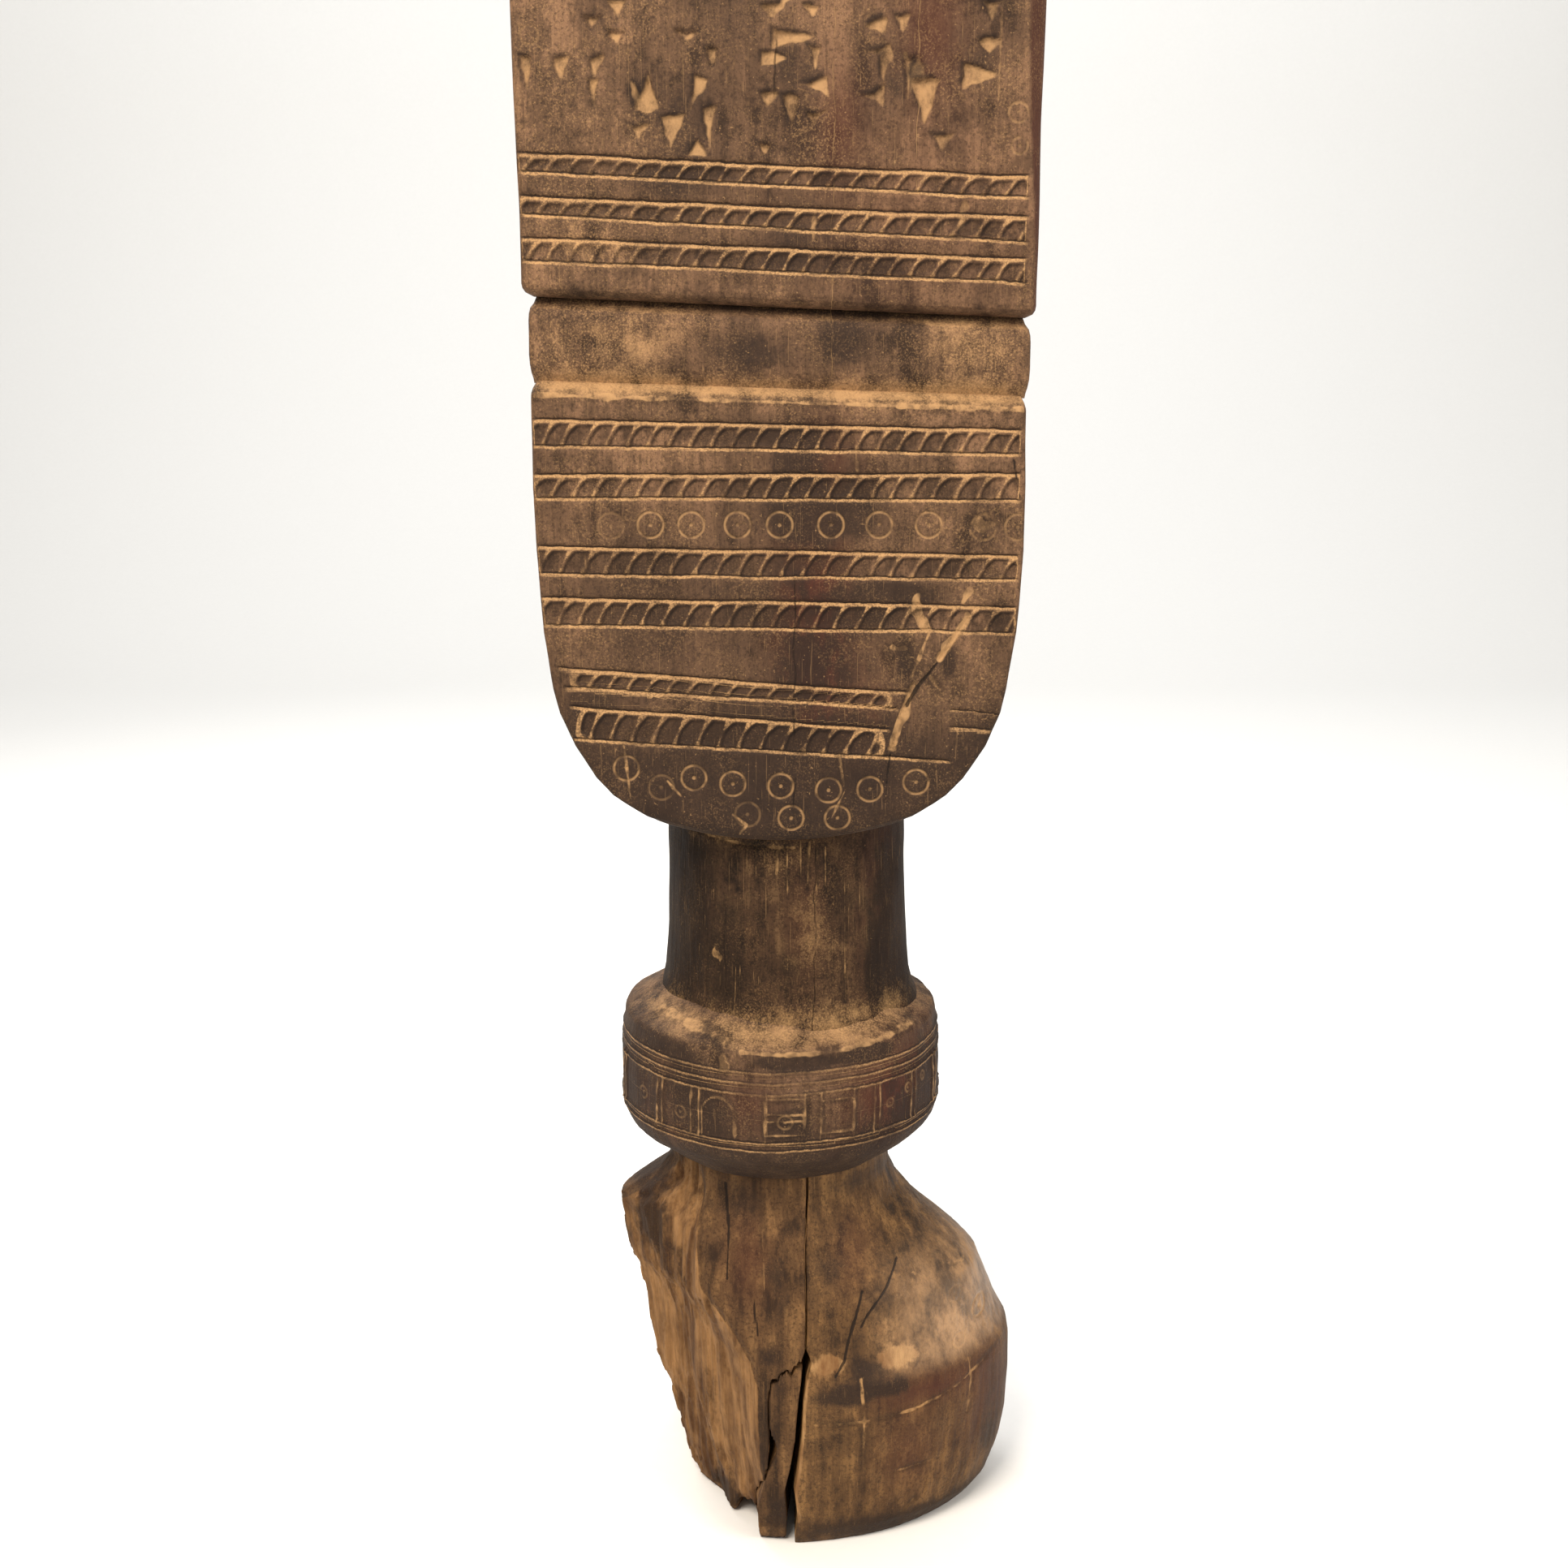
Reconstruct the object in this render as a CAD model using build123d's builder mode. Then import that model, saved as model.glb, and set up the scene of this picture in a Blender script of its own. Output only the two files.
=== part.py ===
"""Carved timber headrest: a dished rest block over a waist band, a tongue-ended panel,
a round neck, a collar ring and an oval bulb foot whose left third is broken away.

Millimetres. The ornamented front faces -Y, +Z is up, and the origin is the middle of
the box's bottom, where the foot stands.
"""
import os
from math import atan2, degrees

from build123d import *

# ---- driving dimensions ----
TIMBER_WIDTH = 104.0        # the panel, side to side
TIMBER_DEPTH = 68.0         # the panel, front to back
AXIS_X = -2.2               # the timber's own axis, from the middle of the box

FOOT_TOP = 89.0             # where the foot meets the collar
COLLAR_TOP = 128.0
NECK_TOP = 171.0            # where the neck meets the tongue's underside
TOP = 364.0                 # rim of the rest

BAND_LOW = (267.0, 263.8)   # waist band's lower seat, at the panel's left and right edge
BAND_HIGH = (283.6, 279.2)  # waist band's upper seat, left and right
BAND_INSET = 1.2            # how far the band stands back from the panel
BAND_ROUND = 5.5            # rounding of the band's long edges
GROOVE = 3.1                # bevel that each panel turns towards the waist

NECK_RADIUS = 27.5
NECK_OFFSET = 1.6           # the neck was cut a little off the timber's axis
COLLAR_RADIUS = 37.4

DISH_SAG = 5.0              # hollow of the rest, across the width
ARRIS = 2.0                 # worn rounding of the long corners

CUT_WIDTH = 0.8             # incised ruling lines
CUT_DEPTH = 0.7
LINE_END = 2.4              # plain border beside the ruling lines
RING_RADIUS = 2.9           # compass-drawn rings with a centre dot
RING_LINE = 0.5

SPLIT_X = 4.0               # main split of the foot, from the timber's axis
SPLIT_GAP = 1.6
SPLIT_BACK = 6.0            # how far back the open split reaches
SPLIT_TOP = 46.0
SPLINTER_X = -5.0           # left side of the loose splinter
SPLINTER_BACK = -14.0

FRONT = -TIMBER_DEPTH / 2
HALF = TIMBER_WIDTH / 2
CUT_REACH = 200.0           # larger than the object, for blocks that trim it

os.makedirs("parts", exist_ok=True)


def at(x, z):
    """A point of a front outline, measured from the timber's axis."""
    return (AXIS_X + x, z)


def seat(heights, x):
    """A point on the sloping line that has these heights at the panel's two edges."""
    return at(x, heights[0] + (heights[1] - heights[0]) * (x + HALF) / TIMBER_WIDTH)


def save(part, name):
    """Label one finished piece and write its file."""
    part.label = name
    export_step(part, f"parts/{name}.step")


def front_plane(y):
    """Upright plane facing the front, its local X to the right and Y up."""
    return Plane(origin=(0, y, 0), x_dir=(1, 0, 0), z_dir=(0, -1, 0))


def ruling(left, right, start=-HALF + LINE_END, stop=HALF - LINE_END):
    """Middle, length and slope of one ruling line, by its height at each panel edge."""
    slope = (right - left) / TIMBER_WIDTH
    middle_x = (start + stop) / 2
    middle = at(middle_x, left + slope * (middle_x + HALF))
    return middle, stop - start, degrees(atan2(slope, 1))


def cut_rulings(lines):
    """Cut ruling lines into the front of the open part."""
    with BuildSketch(front_plane(FRONT)) as cuts:
        for line in lines:
            middle, length, angle = ruling(*line)
            with Locations(Location((middle[0], middle[1], 0), (0, 0, angle))):
                Rectangle(length, CUT_WIDTH)
    extrude(cuts.sketch, amount=-CUT_DEPTH, mode=Mode.SUBTRACT)


def cut_rings(centres):
    """Cut compass rings and their dots into the front of the open part."""
    with BuildSketch(front_plane(FRONT)) as cuts:
        with Locations(*[at(x, z) for x, z in centres]):
            Circle(RING_RADIUS)
            Circle(RING_RADIUS - RING_LINE, mode=Mode.SUBTRACT)
            Circle(RING_LINE)
    extrude(cuts.sketch, amount=-CUT_DEPTH, mode=Mode.SUBTRACT)


# ---- rest block: the upper panel with the dished rest on top ----
UPPER_RULINGS = [
    (310.9, 306.4), (307.4, 302.4), (302.7, 298.7),
    (299.4, 293.8), (294.8, 290.6), (290.4, 286.0),
]
dish_radius = (HALF**2 + DISH_SAG**2) / (2 * DISH_SAG)

with BuildPart() as rest_block:
    with BuildSketch(front_plane(FRONT)):
        with BuildLine():
            Polyline(
                at(-HALF, TOP),
                at(-HALF, BAND_HIGH[0]),
                at(HALF, BAND_HIGH[1]),
                at(HALF, TOP),
            )
            RadiusArc(at(HALF, TOP), at(-HALF, TOP), dish_radius)
        make_face()
    extrude(amount=-TIMBER_DEPTH)
    chamfer(rest_block.faces().sort_by(Axis.Z)[0].edges(), GROOVE)
    fillet(rest_block.edges().filter_by(Axis.Z), ARRIS)
    cut_rulings(UPPER_RULINGS)
save(rest_block.part, "rest_block")

# ---- waist band: the plain cushion between the two grooves ----
band_half = HALF - BAND_INSET

with BuildPart() as waist_band:
    with BuildSketch(front_plane(FRONT + BAND_INSET)):
        with BuildLine():
            Polyline(
                seat(BAND_LOW, -band_half),
                seat(BAND_LOW, band_half),
                seat(BAND_HIGH, band_half),
                seat(BAND_HIGH, -band_half),
                close=True,
            )
        make_face()
    extrude(amount=-(TIMBER_DEPTH - 2 * BAND_INSET))
    by_height = waist_band.faces().sort_by(Axis.Z)
    fillet(by_height[-1].edges() + by_height[0].edges(), BAND_ROUND)
save(waist_band.part, "waist_band")

# ---- tongue panel: the lower panel with its rounded end ----
LOWER_RULINGS = [
    (264.0, 260.7), (259.0, 256.8), (253.8, 251.9), (247.9, 247.9), (243.1, 242.6), (233.1, 231.1),
    (227.5, 226.0), (222.6, 220.4), (216.8, 215.1), (207.9, 200.6, -46.5, 27.0),
    (204.0, 197.2, -45.0, 25.0), (199.8, 192.2, -44.0, 24.0), (192.9, 186.4, -39.0, 33.0),
]
RING_ROWS = [
    (-26.7, 237.6), (-18.3, 237.6), (-8.7, 237.6), (0.0, 237.6), (10.6, 237.6),
    (20.6, 237.6), (30.8, 237.6), (42.1, 237.1),
    (-32.6, 186.1), (-18.3, 184.0), (-10.0, 182.7), (0.2, 182.2), (10.4, 181.3),
    (19.2, 181.5), (29.0, 183.1), (2.4, 175.2), (12.3, 175.2),
]
SIDE_END = 226.0            # where the straight sides begin to draw in
TONGUE_END = 24.0           # half width of the flat underside that meets the neck
TONGUE_INSET = 1.0          # the tongue is this much narrower than the block, each side
SHOULDER = (46.9, 197.9)    # where the rounded end turns in
CHEEK = (38.9, 183.8)

tongue_half = HALF - TONGUE_INSET


def tongue_side(side):
    """Outline points down one side of the tongue, side -1 for left and 1 for right."""
    straight_end = (side * (tongue_half - 0.2), SIDE_END)
    return [
        seat(BAND_LOW, side * tongue_half),
        at(*straight_end),
        at(side * SHOULDER[0], SHOULDER[1]),
        at(side * CHEEK[0], CHEEK[1]),
        at(side * TONGUE_END, NECK_TOP),
    ]


with BuildPart() as tongue_panel:
    with BuildSketch(front_plane(FRONT)):
        with BuildLine():
            Line(seat(BAND_LOW, -tongue_half), seat(BAND_LOW, tongue_half))
            Spline(*tongue_side(1))
            Line(at(TONGUE_END, NECK_TOP), at(-TONGUE_END, NECK_TOP))
            Spline(*reversed(tongue_side(-1)))
        make_face()
    extrude(amount=-TIMBER_DEPTH)
    chamfer(tongue_panel.faces().sort_by(Axis.Z)[-1].edges(), GROOVE)
    cut_rulings(LOWER_RULINGS)
    cut_rings(RING_ROWS)
save(tongue_panel.part, "tongue_panel")

# ---- neck: the round post under the tongue, a little wider where it meets the collar ----
neck_x = AXIS_X + NECK_OFFSET
NECK_FOOT_RADIUS = NECK_RADIUS + 0.8
NECK_MIDDLE_RADIUS = NECK_RADIUS + 0.5
NECK_TOP_RADIUS = NECK_RADIUS - 0.4

with BuildPart() as neck:
    with BuildSketch(Plane.XZ):
        with BuildLine():
            Polyline(
                (neck_x, NECK_TOP),
                (neck_x, COLLAR_TOP),
                (neck_x + NECK_FOOT_RADIUS, COLLAR_TOP),
            )
            Spline(
                (neck_x + NECK_FOOT_RADIUS, COLLAR_TOP),
                (neck_x + NECK_MIDDLE_RADIUS, (COLLAR_TOP + NECK_TOP) / 2),
                (neck_x + NECK_TOP_RADIUS, NECK_TOP),
            )
            Line((neck_x + NECK_TOP_RADIUS, NECK_TOP), (neck_x, NECK_TOP))
        make_face()
    revolve(axis=Axis((neck_x, 0, 0), (0, 0, 1)))
save(neck.part, "neck")

# ---- collar ring: sloped ledge above, barrel face, bevel below, as (radius, height) ----
COLLAR_PROFILE = [
    (0, COLLAR_TOP), (NECK_FOOT_RADIUS, COLLAR_TOP), (35.4, 122.6), (36.9, 118.0),
    (COLLAR_RADIUS, 110.0), (37.2, 99.5), (34.4, 95.6), (26.0, FOOT_TOP), (0, FOOT_TOP),
]
with BuildPart() as collar_ring:
    with BuildSketch(Plane.XZ):
        with BuildLine():
            Polyline([at(x, z) for x, z in COLLAR_PROFILE], close=True)
        make_face()
    revolve(axis=Axis((AXIS_X, 0, 0), (0, 0, 1)))
save(collar_ring.part, "collar_ring")

# ---- foot: oval sections as (height, half width, half depth) ----
SOUND_SECTIONS = [
    (0.0, 47.0, 33.5), (4.5, 52.0, 35.6), (20.0, 55.8, 37.0), (38.0, 56.4, 37.0), (42.0, 55.6, 36.6),
    (52.0, 51.0, 35.0), (59.0, 48.0, 33.6), (65.0, 42.0, 31.6), (71.0, 34.4, 29.2),
    (77.5, 28.8, 27.2), (83.0, 26.4, 26.0), (FOOT_TOP, 25.8, 25.8),
]
BROKEN_SECTIONS = [
    (0.0, 47.0, 33.5), (4.5, 52.0, 35.6), (20.0, 55.8, 37.0), (42.0, 56.0, 37.0), (59.0, 50.0, 34.0),
    (73.7, 38.8, 30.0), (77.3, 33.6, 28.0), (80.0, 29.2, 26.8), (84.0, 26.4, 26.0),
    (FOOT_TOP, 25.8, 25.8),
]
# The broken face: plan points of its front edge and its left edge, low and high.
BREAK_LOW = [(-4.0, -34.5), (-21.2, 0.0)]
BREAK_HIGH = [(-19.0, -34.5), (-38.8, 0.0)]
BREAK_TOP = 73.7
BREAK_BACK_LEAN = 1.0       # the broken face leans this much further left at the back
CLEAR_OF_FOOT = 60.0        # past the foot's surface, front and back


def oval_stack(sections):
    """Loft a closed foot through its oval sections."""
    with BuildPart() as stack:
        for height, half_width, half_depth in sections:
            with BuildSketch(Plane.XY.offset(height)):
                with Locations((AXIS_X, 0)):
                    Ellipse(half_width, half_depth)
        loft(ruled=True)
    return stack.part


def block(x_min, x_max, y_min, y_max, z_min, z_max):
    """A trimming block between two corners, measured from the timber's axis."""
    size = (x_max - x_min, y_max - y_min, z_max - z_min)
    middle = (AXIS_X + (x_min + x_max) / 2, (y_min + y_max) / 2, (z_min + z_max) / 2)
    return Pos(*middle) * Box(*size)


def broken_away():
    """What has broken off the foot's left side, as a block to take away."""
    with BuildPart() as away:
        for height, (front, left) in ((0.0, BREAK_LOW), (BREAK_TOP, BREAK_HIGH)):
            lean_x = (front[0] - left[0]) / (front[1] - left[1])
            outer_x = front[0] + lean_x * (-CLEAR_OF_FOOT - front[1])
            with BuildSketch(Plane.XY.offset(height)):
                with BuildLine():
                    Polyline(
                        at(outer_x, -CLEAR_OF_FOOT),
                        at(*left),
                        at(left[0] - BREAK_BACK_LEAN, CLEAR_OF_FOOT),
                        at(-CUT_REACH, CLEAR_OF_FOOT),
                        at(-CUT_REACH, -CLEAR_OF_FOOT),
                        close=True,
                    )
                make_face()
        loft(ruled=True)
    return away.part


split_left = SPLIT_X - SPLIT_GAP
split_wedge = block(split_left, SPLIT_X, -CLEAR_OF_FOOT, SPLIT_BACK, -1, SPLIT_TOP)
splinter_seat = block(SPLINTER_X, split_left, -CLEAR_OF_FOOT, SPLINTER_BACK, -1, SPLIT_TOP)
sound_oval = oval_stack(SOUND_SECTIONS)
broken_oval = oval_stack(BROKEN_SECTIONS)
right_of_split = block(SPLIT_X, CUT_REACH, -CUT_REACH, CUT_REACH, -CUT_REACH, CUT_REACH)
left_of_split = block(-CUT_REACH, SPLIT_X, -CUT_REACH, CUT_REACH, -CUT_REACH, CUT_REACH)

with BuildPart() as foot_bulb:
    add(sound_oval)
    add(right_of_split, mode=Mode.INTERSECT)
save(foot_bulb.part, "foot_bulb")

with BuildPart() as foot_broken_side:
    add(broken_oval)
    add(left_of_split, mode=Mode.INTERSECT)
    add(broken_away(), mode=Mode.SUBTRACT)
    add(split_wedge, mode=Mode.SUBTRACT)
    add(splinter_seat, mode=Mode.SUBTRACT)
save(foot_broken_side.part, "foot_broken_side")

with BuildPart() as foot_splinter:
    add(broken_oval)
    add(splinter_seat, mode=Mode.INTERSECT)
save(foot_splinter.part, "foot_splinter")
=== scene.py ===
"""Looks of a carved timber headrest: dished rest block, waist band, tongue panel, neck, collar
ring and a split bulb foot, all cut from one old hardwood post.

Each zone is a primitive grid wrapped into a closed skin and then carved point by point, as a
knife would work it, because relief this fine is past what single edit operators can cut.
Lengths in the classes are millimetres, measured from the timber's own axis; meshes are metres.
"""

import logging
import math
from dataclasses import dataclass, field
from enum import Enum
from typing import Callable, Sequence

import bpy
import numpy as np
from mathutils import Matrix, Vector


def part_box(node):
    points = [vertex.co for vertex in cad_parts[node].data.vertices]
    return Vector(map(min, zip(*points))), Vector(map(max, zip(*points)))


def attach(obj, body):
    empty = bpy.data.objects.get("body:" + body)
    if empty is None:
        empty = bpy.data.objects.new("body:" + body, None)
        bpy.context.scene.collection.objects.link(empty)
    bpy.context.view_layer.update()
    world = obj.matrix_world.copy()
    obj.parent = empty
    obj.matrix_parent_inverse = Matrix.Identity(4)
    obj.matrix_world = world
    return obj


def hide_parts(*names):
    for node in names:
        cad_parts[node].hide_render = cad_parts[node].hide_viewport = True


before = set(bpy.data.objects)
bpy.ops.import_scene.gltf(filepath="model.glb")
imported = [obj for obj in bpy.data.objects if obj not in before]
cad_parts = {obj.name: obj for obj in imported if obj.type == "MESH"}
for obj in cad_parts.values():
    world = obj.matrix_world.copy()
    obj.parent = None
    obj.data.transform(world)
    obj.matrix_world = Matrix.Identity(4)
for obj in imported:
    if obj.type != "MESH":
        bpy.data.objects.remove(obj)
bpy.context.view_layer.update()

LOG = logging.getLogger("headrest")
MM = 0.001
MERGE = 2e-7
BODY = "root"


# ---------------------------------------------------------------- sizes read from the frame

def node_box(name: str) -> np.ndarray:
    """Lowest and highest corner of a CAD node in millimetres, as a 2 by 3 array."""
    low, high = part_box(name)
    return np.array([list(low), list(high)]) / MM


AXIS_X = float(node_box("collar_ring")[:, 0].mean())
HALF_WIDTH = float(np.ptp(node_box("rest_block")[:, 0])) / 2
HALF_DEPTH = float(np.ptp(node_box("rest_block")[:, 1])) / 2
REST_TOP = float(node_box("rest_block")[1, 2])
NECK_TOP = float(node_box("neck")[1, 2])
COLLAR_TOP = float(node_box("collar_ring")[1, 2])
FOOT_TOP = float(node_box("collar_ring")[0, 2])
NECK_X = float(node_box("neck")[:, 0].mean()) - AXIS_X
COLLAR_RADIUS = float(np.ptp(node_box("collar_ring")[:, 0])) / 2
BAND_HALF_WIDTH = float(np.ptp(node_box("waist_band")[:, 0])) / 2
BAND_HALF_DEPTH = float(np.ptp(node_box("waist_band")[:, 1])) / 2
SPLINTER_BACK = float(node_box("foot_splinter")[1, 1])
SPLIT_TOP = float(node_box("foot_splinter")[1, 2])
BAND_HIGH_LEFT = float(node_box("waist_band")[1, 2])
BAND_LOW_RIGHT = float(node_box("waist_band")[0, 2])
BAND_HIGH_FALL = 4.4        # the upper seat falls this much from left to right
BAND_LOW_FALL = 3.2
DISH_SAG = 5.0


# ---------------------------------------------------------------- numbers for surfaces

class Lattice:
    """Smooth seeded noise on points in millimetres, from -1 to 1."""

    SIDE = 48

    def __init__(self, seed: int) -> None:
        """Draw the lattice once.

        Args:
            seed: seed of the random values.
        """
        self.table = np.random.default_rng(seed).uniform(-1, 1, (self.SIDE,) * 3)

    def at(self, points: np.ndarray, size: Sequence[float]) -> np.ndarray:
        """Noise at points.

        Args:
            points: array of shape (..., 3), millimetres.
            size: width of one lump along X, Y and Z, millimetres.

        Returns:
            One value per point.
        """
        spot = points / np.asarray(size, float) + 17.3
        base = np.floor(spot).astype(int)
        part = spot - base
        part = part * part * (3 - 2 * part)
        total = np.zeros(points.shape[:-1])
        for corner in range(8):
            step = np.array([corner & 1, corner >> 1 & 1, corner >> 2 & 1])
            index = (base + step) % self.SIDE
            weight = np.prod(np.where(step, part, 1 - part), axis=-1)
            total += weight * self.table[index[..., 0], index[..., 1], index[..., 2]]
        return total


def ramp(value: np.ndarray, low: float, high: float) -> np.ndarray:
    """Smooth step of value, 0 at low and 1 at high; low may be the larger."""
    part = np.clip((value - low) / (high - low), 0, 1)
    return part * part * (3 - 2 * part)


def along(z: np.ndarray, table: Sequence[tuple[float, ...]], column: int = 1) -> np.ndarray:
    """One column of a table of sections, read at heights z."""
    rows = sorted(table)
    return np.interp(z, [row[0] for row in rows], [row[column] for row in rows])


# ---------------------------------------------------------------- knife work

@dataclass(frozen=True)
class Ruling:
    """One scored line across a panel, by its height at the two panel edges."""

    left: float
    right: float
    start: float = -53.0
    stop: float = 49.4
    weight: float = 1.0

    def height(self, x: np.ndarray, wobble: Lattice) -> np.ndarray:
        """Height of the line at x, with the wander of a hand-held knife."""
        spot = np.stack([x, np.full_like(x, self.left), np.zeros_like(x)], -1)
        wander = 0.22 * wobble.at(spot, (11.0, 1.7, 1.0)) + 0.1 * wobble.at(spot, (3.0, 1.1, 1.0))
        return self.left + (self.right - self.left) * (x + HALF_WIDTH) / (2 * HALF_WIDTH) + wander


@dataclass(frozen=True)
class Chip:
    """A three-sided knife chip: middle, width, height and the way its point looks."""

    x: float
    z: float
    wide: float
    high: float
    point: float = -90.0
    depth: float = 0.9
    worn: float = 0.0

    def slope(self, x: np.ndarray, z: np.ndarray) -> np.ndarray:
        """Share of the full depth: the knife went in steep at the upper left."""
        along_cut = (z - self.z) / self.high - (x - self.x) / self.wide
        return np.clip(0.62 + 0.45 * along_cut, 0.25, 1.0)

    def inside(self, x: np.ndarray, z: np.ndarray) -> np.ndarray:
        """Distance inside the triangle's nearest edge, negative outside."""
        turn = math.radians(self.point)
        span = (self.high, self.wide) if abs(math.sin(turn)) > 0.7 else (self.wide, self.high)
        length, base = span
        run = (x - self.x) * math.cos(turn) + (z - self.z) * math.sin(turn)
        side = -(x - self.x) * math.sin(turn) + (z - self.z) * math.cos(turn)
        slope = base / 2 / length
        flank = math.hypot(1, slope)
        to_base = run + length / 2
        to_flank = ((length / 2 - run) * slope - np.abs(side + 0.15 * base)) / flank
        return np.minimum(to_base, to_flank)


@dataclass(frozen=True)
class Ring:
    """A ring scored with a two-point compass, with its centre dot."""

    x: float
    z: float
    radius: float = 2.65
    weight: float = 1.0


@dataclass(frozen=True)
class Gouge:
    """A scratch or scar along a few points."""

    points: tuple[tuple[float, float], ...]
    wide: float
    depth: float = 0.5
    faint: float = 0.0

    def inside(self, x: np.ndarray, z: np.ndarray) -> np.ndarray:
        """Distance inside the scratch's edge, negative outside."""
        best = np.full(x.shape, 1e3)
        for (x0, z0), (x1, z1) in zip(self.points, self.points[1:]):
            dx, dz = x1 - x0, z1 - z0
            part = np.clip(((x - x0) * dx + (z - z0) * dz) / (dx * dx + dz * dz), 0, 1)
            best = np.minimum(best, np.hypot(x - x0 - part * dx, z - z0 - part * dz))
        return self.wide / 2 - best


@dataclass(frozen=True)
class Stain:
    """A soft-edged patch of soot or painted shade, red heartwood or pale wear."""

    x: float
    z: float
    wide: float
    high: float
    amount: float

    def at(self, x: np.ndarray, z: np.ndarray) -> np.ndarray:
        """Strength at a point, by a soft bell."""
        return self.amount * np.exp(-(((x - self.x) / self.wide) ** 2 + ((z - self.z) / self.high) ** 2))


@dataclass(frozen=True)
class RopeBand:
    """Knife-cut rope between two rulings: hollow cells that lean to the right.

    The timber left between two cells is a narrow tooth at the foot and a wide web at the head.
    """

    lower: Ruling
    upper: Ruling
    pitch: float = 4.35
    shift: float = 0.0
    crisp: float = 1.0
    lean: float = 0.5
    foot_line: float = 0.35     # plain timber kept over the lower ruling
    head_line: float = 0.75     # and under the upper one, where dust lies

    def inside(self, x: np.ndarray, z: np.ndarray, wobble: Lattice, seed: int) -> np.ndarray:
        """Distance inside the nearest cell, negative on the timber between cells."""
        low, high = self.lower.height(x, wobble), self.upper.height(x, wobble)
        span = np.maximum(high - low, 1.0)
        rise = (z - low) / span
        stray = 0.7 * wobble.at(np.stack([x, z * 0 + seed, z * 0], -1), (7.0, 1.0, 1.0))
        phase = (x + stray - self.shift) / self.pitch - self.lean * np.clip(rise, 0, 1) ** 1.3
        count = np.floor(phase).astype(int)
        local = (phase - count) * self.pitch
        drawn = np.random.default_rng(seed).uniform(0, 1, (256, 2))[count % 256]
        web = 0.07 + (0.28 + 0.2 * drawn[..., 0]) * np.clip((rise - 0.42) / 0.58, 0, 1) ** 1.7
        tooth = (0.10 + 0.08 * drawn[..., 1]) * np.clip(1 - rise / 0.5, 0, 1)
        left = np.maximum(web, tooth) * self.pitch
        right = (0.03 + tooth) * self.pitch
        cell = np.minimum(local - left, self.pitch - local - right)
        edge = np.minimum(rise * span - self.foot_line, (1 - rise) * span - self.head_line)
        cell = np.minimum(cell, edge)
        first = max(self.lower.start, self.upper.start)
        last = min(self.lower.stop, self.upper.stop)
        within = (rise > 0) & (rise < 1) & (x > first) & (x < last)
        # A band that stops short of the panel's edge fades out over its last cell.
        fade_in, fade_out = (4.0 if abs(end) < 48.0 else 0.4 for end in (first, last))
        ends = ramp(x, first, first + fade_in) * ramp(x, last, last - fade_out)
        cell = np.maximum(cell, -0.9) - (1 - self.crisp) * 0.3
        return np.where(within, -1.5 + (cell + 1.5) * ends, -1.5)


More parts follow.
